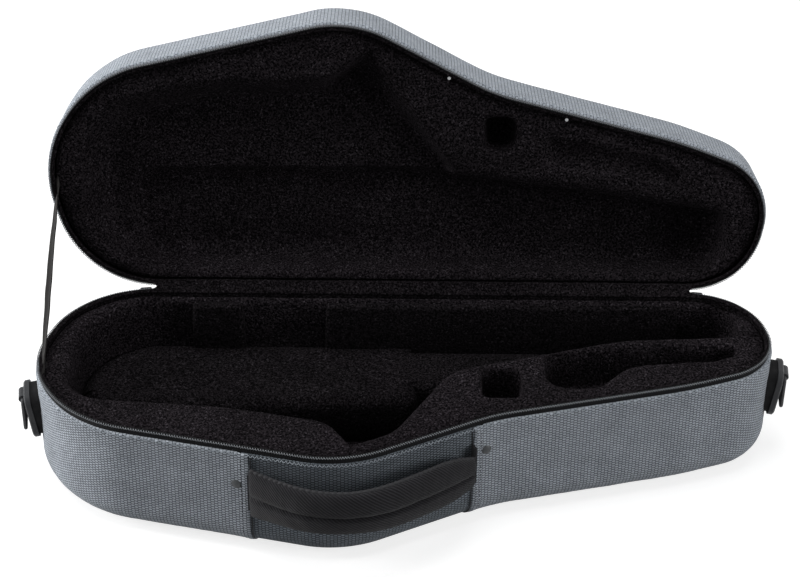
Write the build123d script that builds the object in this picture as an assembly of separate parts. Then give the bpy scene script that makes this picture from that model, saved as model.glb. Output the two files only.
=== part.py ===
from build123d import *
import os
from math import atan2, cos, degrees, pi, radians, sin, sqrt, tan

os.makedirs("parts", exist_ok=True)

# Shaped zip case for an alto saxophone, standing open on its base.
# X runs along the hinge, -Y points to the handle, +Z is up, and the origin is the
# centre of the base's underside. Each half is described by its depth from the parting
# plane, where the two rims meet: the base goes down from it, the closed lid goes up.

# Overall sizes of the case, in millimetres and degrees.
case_length = 630.0
case_width = 241.5
base_height = 110.0
lid_depth = 70.0
lid_open_angle = 103.3
base_edge_radius = 27.0
lid_edge_radius = 16.0

# Layers of the wall, from the outside inwards.
panel_thickness = 2.4
handle_panel_thickness = 1.2
base_shell_thickness = 3.5
lid_shell_thickness = 1.9
glue_gap = 0.3
sewn_gap = 0.1
rim_gap = 0.3
cut_over = 20.0

# Zip: tape, coil, and the lining's bound edge inside it.
zip_band_height = 7.0
zip_tape_thickness = 0.8
zip_tape_hidden = 6.0
zip_coil_width = 1.6
zip_coil_height = 1.8
zip_setback = 5.0
welt_height = 2.8
welt_width = 3.0
slider_length = 11.0
slider_height = 8.0
slider_depth = 3.4
slider_wall = 1.2
slider_drop = 2.4
pull_length = 30.0
pull_width = 6.0
pull_thickness = 1.6
pull_pin_radius = 0.8
pull_swing_gap = 0.4

# Fabric hinge along the straight back edge.
hinge_leaf_height = 24.0
hinge_leaf_thickness = 1.0
hinge_fold_gap = 1.8
hinge_end_gap = 4.0

# Seams of the base's side fabric: the handle panel lies between the two front seams.
seam_left_x = -127.0
seam_right_x = 56.0
seam_back_x = 0.0

# Foam inserts covered with plush.
land_drop = 3.4
base_floor_foam = 12.0
lid_floor_foam = 8.0
lid_frame_width = 22.0
wall_draft_angle = 4.0
soft_draft_angle = 12.0
plush_gap = 0.4
pad_edge_radius = 6.0
bow_edge_radius = 9.0
piping_width = 2.6
piping_proud = 1.4

# Handle, its webbing ends and their rivets.
grip_height = 42.0
grip_mid_height = 39.0
grip_end_thickness = 7.0
grip_mid_thickness = 17.0
grip_edge_thickness = 2.4
grip_crease_depth = 2.2
grip_mid_gap = 10.0
grip_end_gap = 1.6
grip_droop = 4.5
grip_right_drop = 8.0
grip_center_drop = 41.0
strap_end_length = 30.0
strap_end_thickness = 1.2
strap_end_width = 36.0
strap_end_stub = 1.6
rivet_head_radius = 4.4
rivet_head_height = 1.6
rivet_shank_radius = 1.8
rivet_clearance = 0.15
rivet_rise_left = 2.0
rivet_rise_right = 8.0
rivet_from_seam = 11.0
washer_radius = 5.5
washer_thickness = 0.8

# Strap fittings at the two ends.
plate_height = 46.0
plate_width = 36.0
plate_depth = 5.2
plate_corner_radius = 11.0
plate_rim = 3.0
plate_recess = 2.2
plate_bevel = 1.2
plate_center_drop = 47.0
plate_tilt = 8.0
pad_low_thickness = 1.0
ring_radius = 1.7
ring_width = 25.0
ring_drop = 31.0
ring_corner_radius = 8.0
ring_pin_drop = 7.0
ring_bore_clearance = 0.08
ring_boss_width = 13.0
plate_rivet_rise = 5.0
plate_rivet_pitch = 18.0
ring_boss_radius = 3.6

# Webbing stay that stops the lid.
stay_width = 11.0
stay_thickness = 1.2
stay_depth = 3.4
stay_gap_depth = 0.4
stay_wall_gap = 1.7
stay_tab_length = 22.0
stay_fold_thickness = 3.2
stay_room = 2.4
tack_radius = 1.4
tack_height = 0.9
tack_shank_radius = 0.6
tack_shank_length = 3.0

# Derived places.
half_length = case_length / 2
grip_center_z = base_height - grip_center_drop
plate_center_z = base_height - plate_center_drop
hinge_y = case_width / 2
shell_inset = panel_thickness + glue_gap
tape_inset = panel_thickness + sewn_gap
tape_back_inset = tape_inset + zip_tape_thickness
shell_rim_depth = rim_gap + welt_height + sewn_gap
hinge_axis = Axis((0, hinge_y, base_height), (1, 0, 0))
BASE = -1
LID = 1
half_depth = {BASE: base_height, LID: lid_depth}
edge_radius = {BASE: base_edge_radius, LID: lid_edge_radius}
shell_thickness = {BASE: base_shell_thickness, LID: lid_shell_thickness}
foam_inset = {half: shell_inset + shell_thickness[half] + glue_gap for half in (BASE, LID)}
insert_inset = foam_inset[BASE]

# Corners of outlines seen from above, as shares of the half length (x), of the width
# measured from the hinge (second), and of the width for the corner's radius.
case_corner_shares = (
    (-0.917, 0.000, 0.379),
    (-1.026, 0.482, 0.390),
    (-0.877, 0.801, 0.447),
    (-0.159, 1.024, 0.418),
    (0.234, 0.754, 0.669),
    (0.759, 0.576, 1.656),
    (1.028, 0.442, 0.240),
    (0.965, 0.000, 0.273),
)
base_cavity_shares = (
    (-0.899, 0.054, 0.330),
    (-0.914, 0.635, 0.150),
    (-0.480, 0.682, 0.800),
    (-0.203, 0.762, 0.130),
    (-0.140, 0.890, 0.020),
    (-0.034, 0.815, 0.140),
    (0.118, 0.465, 0.200),
    (0.587, 0.274, 0.600),
    (0.914, 0.244, 0.045),
    (0.921, 0.054, 0.090),
)
mouthpiece_pocket_shares = (
    (0.200, 0.462, 0.040),
    (0.206, 0.628, 0.025),
    (0.302, 0.628, 0.025),
    (0.312, 0.462, 0.040),
)
neck_pocket_shares = (
    (0.376, 0.374, 0.082),
    (0.376, 0.566, 0.082),
    (0.515, 0.566, 0.070),
    (0.600, 0.435, 0.160),
    (0.835, 0.400, 0.100),
    (0.905, 0.362, 0.015),
    (0.902, 0.322, 0.015),
    (0.560, 0.334, 0.250),
)
bow_pad_shares = (
    (-1.060, -0.200, 0.050),
    (-1.060, 0.420, 0.050),
    (0.020, 0.420, 0.050),
    (0.020, -0.200, 0.050),
)
body_pad_shares = (
    (0.060, 0.110, 0.020),
    (0.060, 0.300, 0.040),
    (0.440, 0.230, 0.300),
    (0.885, 0.200, 0.030),
    (0.885, 0.110, 0.020),
)
back_pad_shares = (
    (-0.225, 0.060, 0.010),
    (-0.225, 0.100, 0.018),
    (0.760, 0.086, 0.010),
    (0.760, 0.060, 0.010),
)
end_pad_shares = (
    (-0.600, 0.060, 0.010),
    (-0.600, 0.104, 0.018),
    (-0.460, 0.104, 0.018),
    (-0.460, 0.060, 0.010),
)
lid_bell_shares = (
    (-0.905, 0.060, 0.280),
    (-0.915, 0.640, 0.240),
    (-0.540, 0.742, 0.500),
    (-0.215, 0.775, 0.170),
    (-0.105, 0.905, 0.020),
    (0.130, 0.455, 0.060),
    (0.130, 0.060, 0.060),
)
lid_bell_floor_shares = (
    (-0.800, 0.100, 0.200),
    (-0.810, 0.520, 0.200),
    (-0.540, 0.630, 0.450),
    (-0.240, 0.665, 0.150),
    (-0.135, 0.800, 0.020),
    (0.105, 0.440, 0.060),
    (0.105, 0.100, 0.060),
)
lid_split_shares = (
    (-0.215, 1.080),
    (0.090, 0.450),
    (0.140, 0.395),
    (0.560, 0.322),
    (0.875, 0.258),
    (1.100, 0.250),
    (1.100, 1.080),
)
lid_body_shares = (
    (-0.790, 0.060, 0.160),
    (-0.790, 0.437, 0.120),
    (0.035, 0.447, 0.600),
    (0.560, 0.358, 0.900),
    (0.886, 0.292, 0.045),
    (0.900, 0.060, 0.110),
)
lid_pit_shares = (
    (0.210, 0.520, 0.030),
    (0.208, 0.655, 0.012),
    (0.302, 0.655, 0.012),
    (0.300, 0.520, 0.045),
)
lid_crook_shares = (
    (0.390, 0.480, 0.045),
    (0.375, 0.585, 0.025),
    (0.700, 0.500, 0.100),
    (0.790, 0.405, 0.018),
)
bow_pad_height_share = 0.48
body_pad_height_share = 0.42
mouthpiece_depth_share = 0.55
neck_depth_share = 0.42
lid_bell_depth_share = 0.50
lid_body_depth_share = 0.72
lid_pit_depth_share = 0.60
lid_crook_depth_share = 0.22
plate_left_turn_share = 0.51
slider_left_turn_share = 0.10
slider_right_turn_share = 0.90
stay_base_turn_share = 0.49
stay_lid_turn_share = 0.21
base_split_x_share = -0.140
base_split_d_share = 0.250
lining_tack_shares = (0.110, 0.435)
plate_right_turn_share = 0.80
grip_station_shares = (0.0, 0.07, 0.22, 0.41, 0.60, 0.80, 0.93, 1.0)


def scaled(shares):
    """Corners in millimetres (x, y, radius) from a table of shares."""
    return [(x * half_length, hinge_y - d * case_width, r * case_width) for x, d, r in shares]


case_corners = scaled(case_corner_shares)
left_corner = case_corners.index(min(case_corners))
right_corner = case_corners.index(max(case_corners))


def rounded_corners(corners, inset=0.0, same_radii=False):
    """Arcs of an outline whose sides are all moved inwards by one distance.

    The corners go round counterclockwise. Each arc is a dictionary with its start, middle
    and end points, its centre, its radius and the direction angles of its end normals.
    """
    count = len(corners)
    heading = []
    for i in range(count):
        (x0, y0, _), (x1, y1, _) = corners[i], corners[(i + 1) % count]
        heading.append(atan2(y1 - y0, x1 - x0))
    arcs = []
    for i in range(count):
        before, after = heading[i - 1], heading[i]
        turn = (after - before + pi) % (2 * pi) - pi
        left_before = Vector(-sin(before), cos(before))
        left_after = Vector(-sin(after), cos(after))
        push = (left_before + left_after) * (inset / (1 + left_before.dot(left_after)))
        point = Vector(corners[i][0], corners[i][1]) + push
        convex = 1 if turn > 0 else -1
        radius = corners[i][2] if same_radii else corners[i][2] - convex * inset
        reach = radius * tan(abs(turn) / 2)
        start = point - Vector(cos(before), sin(before)) * reach
        end = point + Vector(cos(after), sin(after)) * reach
        center = start + left_before * (convex * radius)
        middle_angle = before + turn / 2
        outward = Vector(sin(middle_angle), -cos(middle_angle))
        middle = center + outward * (convex * radius)
        arcs.append(dict(start=start, middle=middle, end=end, center=center, radius=radius,
                         heading=before, turn=turn, convex=convex))
    return arcs


def outline(corners, z, inset=0.0, same_radii=False):
    """Closed wire of arcs and straight sides at one height."""
    up = Vector(0, 0, z)
    arcs = rounded_corners(corners, inset, same_radii)
    edges = []
    for arc, following in zip(arcs, arcs[1:] + arcs[:1]):
        edges.append(ThreePointArc(arc["start"] + up, arc["middle"] + up, arc["end"] + up))
        edges.append(Line(arc["end"] + up, following["start"] + up))
    return Wire(edges)


def height_at(half, depth):
    """Height of a plane that lies this deep in one half, with the case closed."""
    return base_height + half * depth


def prism(corners, half, inset, depth_0, depth_1):
    """Straight block inside an outline, between two depths of one half."""
    low = min(height_at(half, depth_0), height_at(half, depth_1))
    face = Face(outline(corners, low, inset))
    return Solid.extrude(face, Vector(0, 0, abs(depth_1 - depth_0)))


def hollow(corners, half, depth, draft_angle):
    """Drafted pocket that narrows from the parting plane down to its floor."""
    narrowing = depth * tan(radians(draft_angle))
    mouth = outline(corners, height_at(half, 0.0), 0.0, True)
    floor = outline(corners, height_at(half, depth), narrowing, True)
    wires = [floor, mouth] if half == BASE else [mouth, floor]
    return Solid.make_loft(wires, ruled=True)


def tub(half, inset, depth_0, depth_1, radius):
    """Solid block of one half inside its outline, with its outer edge rounded."""
    block = prism(case_corners, half, inset, depth_0, depth_1)
    ends = block.edges().group_by(Axis.Z)
    return block.fillet(radius, ends[0] if half == BASE else ends[-1])


def band(half, inset_0, inset_1, depth_0, depth_1):
    """Upright strip that follows the outline, between two insets and two depths."""
    outer = prism(case_corners, half, inset_0, depth_0, depth_1)
    return outer - prism(case_corners, half, inset_1, depth_0, depth_1)


def shell_between(half, inset_0, inset_1, depth_0):
    """Open tub of even thickness, from a depth at its rim to its floor."""
    depth, radius = half_depth[half], edge_radius[half]
    outer = tub(half, inset_0, depth_0, depth - inset_0, radius - inset_0)
    inner = tub(half, inset_1, depth_0 - cut_over, depth - inset_1, radius - inset_1)
    return outer - inner


def block(x_0, x_1, y_0, y_1, z_0, z_1):
    """Box between two corners."""
    size = (x_1 - x_0, y_1 - y_0, z_1 - z_0)
    return Pos((x_0 + x_1) / 2, (y_0 + y_1) / 2, (z_0 + z_1) / 2) * Box(*size)


case_arcs = rounded_corners(case_corners)
hinge_left_x = case_arcs[0]["start"].X + hinge_end_gap
hinge_right_x = case_arcs[-1]["end"].X - hinge_end_gap
lid_top_z = base_height + lid_depth
outside = half_length + cut_over


def back_edge(x_0, x_1):
    """Space over the straight back edge between two places along it."""
    return block(x_0, x_1, hinge_y - insert_inset - welt_width, hinge_y + cut_over,
                 -cut_over, lid_top_z + cut_over)


def front_span(x_0, x_1):
    """Space in front of the case's middle between two places along it."""
    return block(x_0, x_1, -case_width, 0.0, -cut_over, lid_top_z + cut_over)


def to_open(shape):
    """Turns a piece of the closed lid to where the open lid carries it."""
    return shape.rotate(hinge_axis, -lid_open_angle)


def front_wall(x, inset=0.0):
    """Point of the front wall at one x, and the direction angle of its outward normal."""
    arcs = rounded_corners(case_corners, inset)
    for i in range(2, len(arcs) - 2):
        arc = arcs[i]
        if arc["start"].X <= x <= arc["end"].X:
            across = x - arc["center"].X
            along = sqrt(arc["radius"] ** 2 - across ** 2)
            y = arc["center"].Y - arc["convex"] * along
            normal = atan2(-along, across * arc["convex"])
            return Vector(x, y), normal
        follower = arcs[i + 1]
        if arc["end"].X <= x <= follower["start"].X:
            share = (x - arc["end"].X) / (follower["start"].X - arc["end"].X)
            point = arc["end"] + (follower["start"] - arc["end"]) * share
            return point, arc["heading"] + arc["turn"] - pi / 2
    raise ValueError("no front wall at this x")


def end_wall(corner, turn_share, inset=0.0):
    """Point on a corner's arc, and the direction angle of its outward normal."""
    arc = rounded_corners(case_corners, inset)[corner]
    normal = arc["heading"] + arc["turn"] * turn_share - pi / 2
    return arc["center"] + Vector(cos(normal), sin(normal)) * arc["radius"], normal


def wall_place(point, normal, z):
    """Location on a wall: local X points outwards, Y along the wall, Z up."""
    return Location((point.X, point.Y, z), (0, 0, degrees(normal)))


def across_wall(place, radius, from_inset, to_inset):
    """Cylinder square to the wall between two insets from the outer surface."""
    length = to_inset - from_inset
    return place * Pos(-from_inset - length / 2, 0, 0) * Rot(0, 90, 0) * Cylinder(radius, length)


# Rivets of the handle: a low head outside, a shank, and a washer inside the shell.
rivet_seats = []
for seam_x, side, rise in ((seam_left_x, -1, rivet_rise_left), (seam_right_x, 1, rivet_rise_right)):
    seat_point, seat_normal = front_wall(seam_x + side * rivet_from_seam)
    rivet_seats.append(wall_place(seat_point, seat_normal, grip_center_z + rise))


def rivet(place, head_radius, head_height, face_inset):
    """Rivet through the wall, its domed head on a face at the given inset."""
    dome = (head_radius ** 2 + head_height ** 2) / (2 * head_height)
    cap = Sphere(dome) & Pos(0, 0, dome) * Box(2 * dome, 2 * dome, 2 * head_height)
    cap = Pos(0, 0, head_height - dome) * cap
    head = place * Pos(-face_inset, 0, 0) * Rot(0, 90, 0) * cap
    shank = across_wall(place, rivet_shank_radius, face_inset - sewn_gap, washer_face + washer_thickness)
    return head + shank


washer_wall_radius = case_corners[right_corner][2] - insert_inset
washer_face = insert_inset - glue_gap + washer_radius ** 2 / (2 * washer_wall_radius)


def washer(place):
    """Flat ring on the shell's inner face, round a rivet's shank."""
    face = washer_face
    disc = across_wall(place, washer_radius, face, face + washer_thickness)
    return disc - across_wall(place, rivet_shank_radius + rivet_clearance,
                              face - cut_over, face + cut_over)


def washer_relief(place):
    """Recess in the foam behind a washer."""
    return across_wall(place, washer_radius + plush_gap, shell_inset,
                       washer_face + washer_thickness + plush_gap)


def rivet_hole(place, to_inset):
    """Hole for a rivet's shank from outside to the given inset."""
    return across_wall(place, rivet_shank_radius + rivet_clearance, -cut_over, to_inset)


# Webbing ends of the handle: a flat run under the side panel, and a turn out through the
# seam to the end of the grip.
def strap_end(seam_x, side, growth=0.0):
    """Webbing end at one seam. Side is -1 at the left seam and 1 at the right one."""
    tall = strap_end_width + 2 * growth
    low_depth = base_height - grip_center_z - tall / 2
    run = band(BASE, panel_thickness - strap_end_thickness - growth, panel_thickness + growth,
               low_depth, low_depth + tall)
    run_ends = (seam_x + side * (strap_end_length + growth), seam_x - side * strap_end_stub / 2)
    run = run & front_span(min(run_ends), max(run_ends))
    point, normal = front_wall(seam_x)
    reach = grip_end_gap + grip_end_thickness
    stub = Box(reach + panel_thickness + growth, strap_end_stub + 2 * growth, tall)
    stub = Pos((reach - panel_thickness - growth) / 2, -side * (sewn_gap + strap_end_stub / 2), 0) * stub
    return run + wall_place(point, normal, grip_center_z) * stub


strap_end_left = strap_end(seam_left_x, -1)
strap_end_right = strap_end(seam_right_x, 1)
strap_end_room = strap_end(seam_left_x, -1, sewn_gap) + strap_end(seam_right_x, 1, sewn_gap)


# Padded grip: a skin of stations lofted along the front wall, each with two lobes that
# meet in a crease on the outside and with thin bound edges at the top and bottom.
def grip_section(share):
    """Face of the grip at a share of the way between the two seams."""
    x_0 = seam_left_x + strap_end_stub + 3 * sewn_gap
    x_1 = seam_right_x - strap_end_stub - 3 * sewn_gap
    point, normal = front_wall(x_0 + (x_1 - x_0) * share)
    swell = sin(pi * share)
    plump = sqrt(swell)
    gap = grip_end_gap + grip_mid_gap * swell
    thick = grip_end_thickness + (grip_mid_thickness - grip_end_thickness) * plump
    tall = grip_height + (grip_mid_height - grip_height) * swell
    crease = thick - grip_crease_depth * (1 + plump) / 2
    edge = grip_edge_thickness / 2
    low = grip_droop * swell + grip_right_drop * share ** 3
    origin = Vector(point.X, point.Y, grip_center_z - low)
    out = Vector(cos(normal), sin(normal))

    def at(distance, rise):
        return origin + out * (gap + distance) + Vector(0, 0, rise)

    middle = thick / 2
    top, low = tall / 2, -tall / 2
    edges = [
        Line(at(middle - edge, top), at(middle + edge, top)),
        ThreePointArc(at(middle + edge, top), at(thick, top / 2), at(crease, 0)),
        ThreePointArc(at(crease, 0), at(thick, low / 2), at(middle + edge, low)),
        Line(at(middle + edge, low), at(middle - edge, low)),
        ThreePointArc(at(middle - edge, low), at(0, 0), at(middle - edge, top)),
    ]
    return Wire(edges)


handle_grip = Solid.make_loft([grip_section(share) for share in grip_station_shares])


# Strap fittings: a moulded plate on a wedge pad, with a ring that hangs from its boss.
plate_seats = {}
for name, corner, share in (("left", left_corner, plate_left_turn_share),
                            ("right", right_corner, plate_right_turn_share)):
    seat_point, seat_normal = end_wall(corner, share)
    plate_seats[name] = wall_place(seat_point, seat_normal, plate_center_z)

plate_lean = Rot(0, plate_tilt, 0)
pad_mid_thickness = pad_low_thickness + plate_height / 2 * sin(radians(plate_tilt))
ring_pin_z = plate_height / 2 - ring_pin_drop
ring_pin_x = plate_depth + ring_radius + sewn_gap


def rounded_plate(width, tall, radius, x_0, x_1):
    """Upright plate with rounded corners between two distances from the wall."""
    face = Plane.YZ * RectangleRounded(width, tall, radius)
    return Pos(x_0, 0, 0) * extrude(face, x_1 - x_0)


def on_plate(seat):
    """Location of the plate's back face, leaning outwards at its top."""
    return seat * Pos(pad_mid_thickness, 0, 0) * plate_lean


def strap_plate(seat):
    """Moulded plate with a bevelled rim round a shallow recess, and the ring's boss."""
    body = rounded_plate(plate_width, plate_height, plate_corner_radius, 0, plate_depth)
    rim = body.faces().sort_by(Axis.X)[-1].edges()
    body = chamfer(rim, plate_bevel)
    floor = plate_depth - plate_recess
    recess = rounded_plate(plate_width - 2 * plate_rim, plate_height - 2 * plate_rim,
                           plate_corner_radius - plate_rim, floor, plate_depth + cut_over)
    body = body - recess
    boss = Pos(ring_pin_x, 0, ring_pin_z) * Rot(90, 0, 0) * Cylinder(ring_boss_radius, ring_boss_width)
    foot = block(floor, ring_pin_x, -ring_boss_width / 2, ring_boss_width / 2,
                 ring_pin_z - ring_boss_radius, ring_pin_z + ring_boss_radius)
    bore = Pos(ring_pin_x, 0, ring_pin_z) * Rot(90, 0, 0) * Cylinder(
        ring_radius + ring_bore_clearance, ring_boss_width + cut_over)
    return on_plate(seat) * (body + boss + foot - bore)


def strap_pad(seat):
    """Wedge of rubber between the wall and the plate, thicker at its top."""
    wedge = on_plate(seat) * rounded_plate(plate_width - plate_rim, plate_height - plate_rim,
                                           plate_corner_radius, -cut_over, -sewn_gap)
    return wedge - prism(case_corners, BASE, -sewn_gap, -cut_over, base_height + cut_over)


def strap_ring(seat):
    """Closed wire loop that hangs straight down from the boss."""
    pivot = on_plate(seat) * Pos(ring_pin_x, 0, ring_pin_z)
    hang = Location(pivot.position, (0, 0, seat.orientation.Z))
    half = ring_width / 2 - ring_radius
    path = FilletPolyline((0, -half, 0), (0, half, 0), (0, half * 3 / 4, -ring_drop),
                          (0, -half * 3 / 4, -ring_drop), radius=ring_radius * 2, close=True)
    start = Plane(origin=(0, 0, 0), z_dir=(0, 1, 0))
    return hang * sweep(start * Circle(ring_radius), path=path)


plate_rivet_rises = (plate_rivet_rise, plate_rivet_rise - plate_rivet_pitch)
spot_radius = rivet_head_radius + plush_gap


def plate_rivet_places(seat):
    """Where a plate's two rivets go through the wall, one above the other."""
    return [seat * Pos(0, 0, rise) for rise in plate_rivet_rises]


def plate_face(rise):
    """Distance from the wall to the spot face under a rivet's head, square to the wall."""
    lean = radians(plate_tilt)
    floor = pad_mid_thickness + (plate_depth - plate_recess) / cos(lean)
    return floor + (rise - spot_radius) * tan(lean) - sewn_gap


def spot_face(place, rise):
    """Cut in the leaning plate that gives a rivet's head a flat seat."""
    return across_wall(place, spot_radius, -plate_face(rise) - cut_over, -plate_face(rise))


# Zip sliders, parked at the hinge ends of the zip, and their pulls.
slider_seats = {}
for name, corner, share in (("left", 0, slider_left_turn_share), ("right", -1, slider_right_turn_share)):
    seat_point, seat_normal = end_wall(corner, share)
    slider_seats[name] = wall_place(seat_point, seat_normal,
                                    base_height - slider_drop - slider_height / 2)

eye_radius = pull_pin_radius + slider_wall
pull_pin_x = slider_depth + eye_radius + pull_swing_gap
slider_ear_y = pull_width / 2 + pull_swing_gap


def zip_slider(seat):
    """Slider body over the coil, with two ears and the pin that carries the pull."""
    plate = block(sewn_gap, slider_depth, -slider_length / 2, slider_length / 2,
                  -slider_height / 2, slider_height / 2)
    plate = fillet(plate.edges().filter_by(Axis.X), slider_height / 4)
    rib = block(-tape_inset + zip_coil_width + sewn_gap, sewn_gap, -slider_length / 4, slider_length / 4,
                slider_height / 2 - slider_wall, slider_height / 2)
    body = plate + rib
    for side in (-1, 1):
        middle = side * (slider_ear_y + slider_wall / 2)
        body += block(slider_depth, pull_pin_x, middle - slider_wall / 2, middle + slider_wall / 2,
                      -eye_radius, eye_radius)
        body += Pos(pull_pin_x, middle, 0) * Rot(90, 0, 0) * Cylinder(eye_radius, slider_wall)
    pin = Pos(pull_pin_x, 0, 0) * Rot(90, 0, 0) * Cylinder(pull_pin_radius, 2 * slider_ear_y + slider_wall)
    return seat * (body + pin)


def zip_pull(seat):
    """Tab with an eye round the slider's pin, hanging straight down."""
    eye = Rot(90, 0, 0) * Cylinder(eye_radius, pull_width)
    bore = Rot(90, 0, 0) * Cylinder(pull_pin_radius + ring_bore_clearance, pull_width + cut_over)
    tab = block(-pull_thickness / 2, pull_thickness / 2, -pull_width / 2, pull_width / 2, -pull_length, 0)
    tab = fillet(tab.edges().filter_by(Axis.X).group_by(Axis.Z)[0], pull_width / 2 - sewn_gap)
    finger_hole = Rot(0, 90, 0) * Cylinder(pull_width / 4, cut_over)
    finger_hole = Pos(0, 0, pull_width / 2 - pull_length) * finger_hole
    return seat * Pos(pull_pin_x, 0, 0) * (eye + tab - bore - finger_hole)


# Webbing stay between the two halves, its folded ends and their tacks.
def stay_seat(half):
    """Place on the left end wall where the stay is tacked in one half of the closed case."""
    share = stay_base_turn_share if half == BASE else stay_lid_turn_share
    point, normal = end_wall(left_corner, share)
    middle_depth = stay_depth + stay_gap_depth + stay_tab_length / 2
    return wall_place(point, normal, height_at(half, middle_depth))


stay_outer = {half: foam_inset[half] + sewn_gap for half in (BASE, LID)}
stay_inner = {half: stay_outer[half] + stay_fold_thickness for half in (BASE, LID)}
tack_rises = (-stay_tab_length / 4, stay_tab_length / 4)


def tack_hole(place):
    """Hole for a tack's shank, as deep as the wall's foam and shell."""
    return across_wall(place, tack_shank_radius + sewn_gap / 2, shell_inset, stay_inner[BASE] + cut_over)


def stay_tab(half):
    """Folded end of the stay, upright against the shell's inner face."""
    tab = block(-stay_inner[half], -stay_outer[half], -stay_width / 2, stay_width / 2,
                -stay_tab_length / 2, stay_tab_length / 2)
    return stay_seat(half) * (tab - [tack_hole(Pos(0, 0, rise)) for rise in tack_rises])


def stay_slot(half):
    """Slot in the foam that the folded end and the stay drop into."""
    slot = block(-stay_inner[half] - stay_room, 0, -stay_width / 2 - stay_room, stay_width / 2 + stay_room,
                 -stay_tab_length / 2 - stay_room, stay_tab_length + cut_over)
    return stay_seat(half) * (slot if half == BASE else slot.mirror(Plane.XY))


def tack(place, face_inset, side_inset):
    """Tack with a domed head on a face, its shank running outwards into the wall."""
    head = across_wall(place, tack_radius, face_inset + sewn_gap / 2, face_inset + tack_height)
    return head + across_wall(place, tack_shank_radius, side_inset, face_inset + tack_height)


def stay_tacks(half):
    """Two tacks through one folded end into the shell."""
    places = [stay_seat(half) * Pos(0, 0, rise) for rise in tack_rises]
    return [tack(place, stay_inner[half], tape_back_inset + 2 * sewn_gap) for place in places]


def stay_corners(half):
    """Two corners of the stay where it leaves a half, with the case closed, in one upright plane."""
    inset = tape_back_inset + welt_width + stay_wall_gap
    x = max(stay_seat(BASE).position.X, stay_seat(LID).position.X) + inset
    middle = stay_seat(half).position.Y
    return [Vertex(x, middle + side * stay_width / 2, height_at(half, stay_depth)) for side in (-1, 1)]


stay_points = [corner.center() for corner in stay_corners(BASE)]
stay_points += [to_open(corner).center() for corner in reversed(stay_corners(LID))]
stay_face = Face(Wire(Polyline(*stay_points, close=True).edges()))
stay_strap = Solid.extrude(stay_face, Vector(stay_thickness, 0, 0))


# Layers of each half.
def zip_room(half):
    """Space of the zip's visible band, all round but for the hinge."""
    room = band(half, -cut_over, tape_back_inset + sewn_gap, 0.0, zip_band_height)
    return room - back_edge(hinge_left_x, hinge_right_x)


def tape_rebate(half):
    """Step in the shell's outer face where the tape's sewn edge lies."""
    room = band(half, 0.0, tape_back_inset + sewn_gap, 0.0,
                zip_band_height + zip_tape_hidden + sewn_gap)
    return room - back_edge(hinge_left_x, hinge_right_x)


def zip_tape(half):
    """Woven tape whose lower edge is sewn between the fabric and the shell."""
    strip = band(half, tape_inset, tape_back_inset, rim_gap, zip_band_height + zip_tape_hidden)
    return strip - back_edge(hinge_left_x - zip_setback, hinge_right_x + zip_setback)


def zip_coil(half):
    """Row of teeth along the tape's free edge."""
    row = band(half, tape_inset - zip_coil_width, tape_inset - sewn_gap / 2, rim_gap,
               rim_gap + zip_coil_height)
    return row - back_edge(hinge_left_x - zip_setback, hinge_right_x + zip_setback)


def rim_welt(half):
    """Bound edge of the lining, over the shell's rim."""
    outer = tape_back_inset + sewn_gap
    return band(half, outer, outer + welt_width, rim_gap, rim_gap + welt_height)


def bare_shell(half):
    """Moulded shell of one half before its holes."""
    tub_shell = shell_between(half, shell_inset, shell_inset + shell_thickness[half], shell_rim_depth)
    return tub_shell - tape_rebate(half)


def hinge_leaf(half):
    """Strip of hinge fabric sewn to the back of one half."""
    low, high = sorted((height_at(half, hinge_fold_gap), height_at(half, hinge_leaf_height)))
    return block(hinge_left_x + sewn_gap, hinge_right_x - sewn_gap,
                 hinge_y, hinge_y + hinge_leaf_thickness, low, high)


base_floor_depth = base_height - foam_inset[BASE] - base_floor_foam
lid_floor_depth = lid_depth - foam_inset[LID] - lid_floor_foam


lid_back_depth = lid_floor_depth * lid_body_depth_share + lid_floor_foam


def foam(half, depth_0):
    """Foam block that fills one half's shell from a depth to its floor."""
    inset = foam_inset[half]
    return tub(half, inset, depth_0, half_depth[half] - inset, edge_radius[half] - inset)


def pad(shares, height_share, radius):
    """Foam pad with rounded top edges that stands on the base insert's floor."""
    tall = base_floor_depth * height_share
    body = prism(scaled(shares), BASE, 0.0, base_floor_depth - tall, base_floor_depth)
    return body.fillet(radius, body.edges().group_by(Axis.Z)[-1])


# Base.
wall_rivet_places = [place for seat in plate_seats.values() for place in plate_rivet_places(seat)]
all_rivet_places = rivet_seats + wall_rivet_places
base_skin = shell_between(BASE, 0.0, panel_thickness, rim_gap)
base_underside = prism(case_corners, BASE, base_edge_radius, base_height - panel_thickness, base_height)
thin_skin = shell_between(BASE, panel_thickness - handle_panel_thickness, panel_thickness, rim_gap)
underside_room = prism(case_corners, BASE, base_edge_radius, base_height - 2 * panel_thickness,
                       base_height + cut_over)
handle_span = front_span(seam_left_x, seam_right_x)
base_side = base_skin - zip_room(BASE) - underside_room - handle_span - strap_end_room
base_side = base_side - [rivet_hole(place, insert_inset) for place in all_rivet_places]
base_left = base_side & block(-outside, seam_back_x, -case_width, case_width, -cut_over, lid_top_z)
base_right = base_side - block(-outside, seam_back_x, -case_width, case_width, -cut_over, lid_top_z)
handle_panel = (thin_skin - zip_room(BASE) - underside_room - strap_end_room) & handle_span

base_shell = bare_shell(BASE) - [rivet_hole(place, insert_inset) for place in all_rivet_places]
base_shell = base_shell - [tack_hole(stay_seat(BASE) * Pos(0, 0, rise)) for rise in tack_rises]

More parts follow.
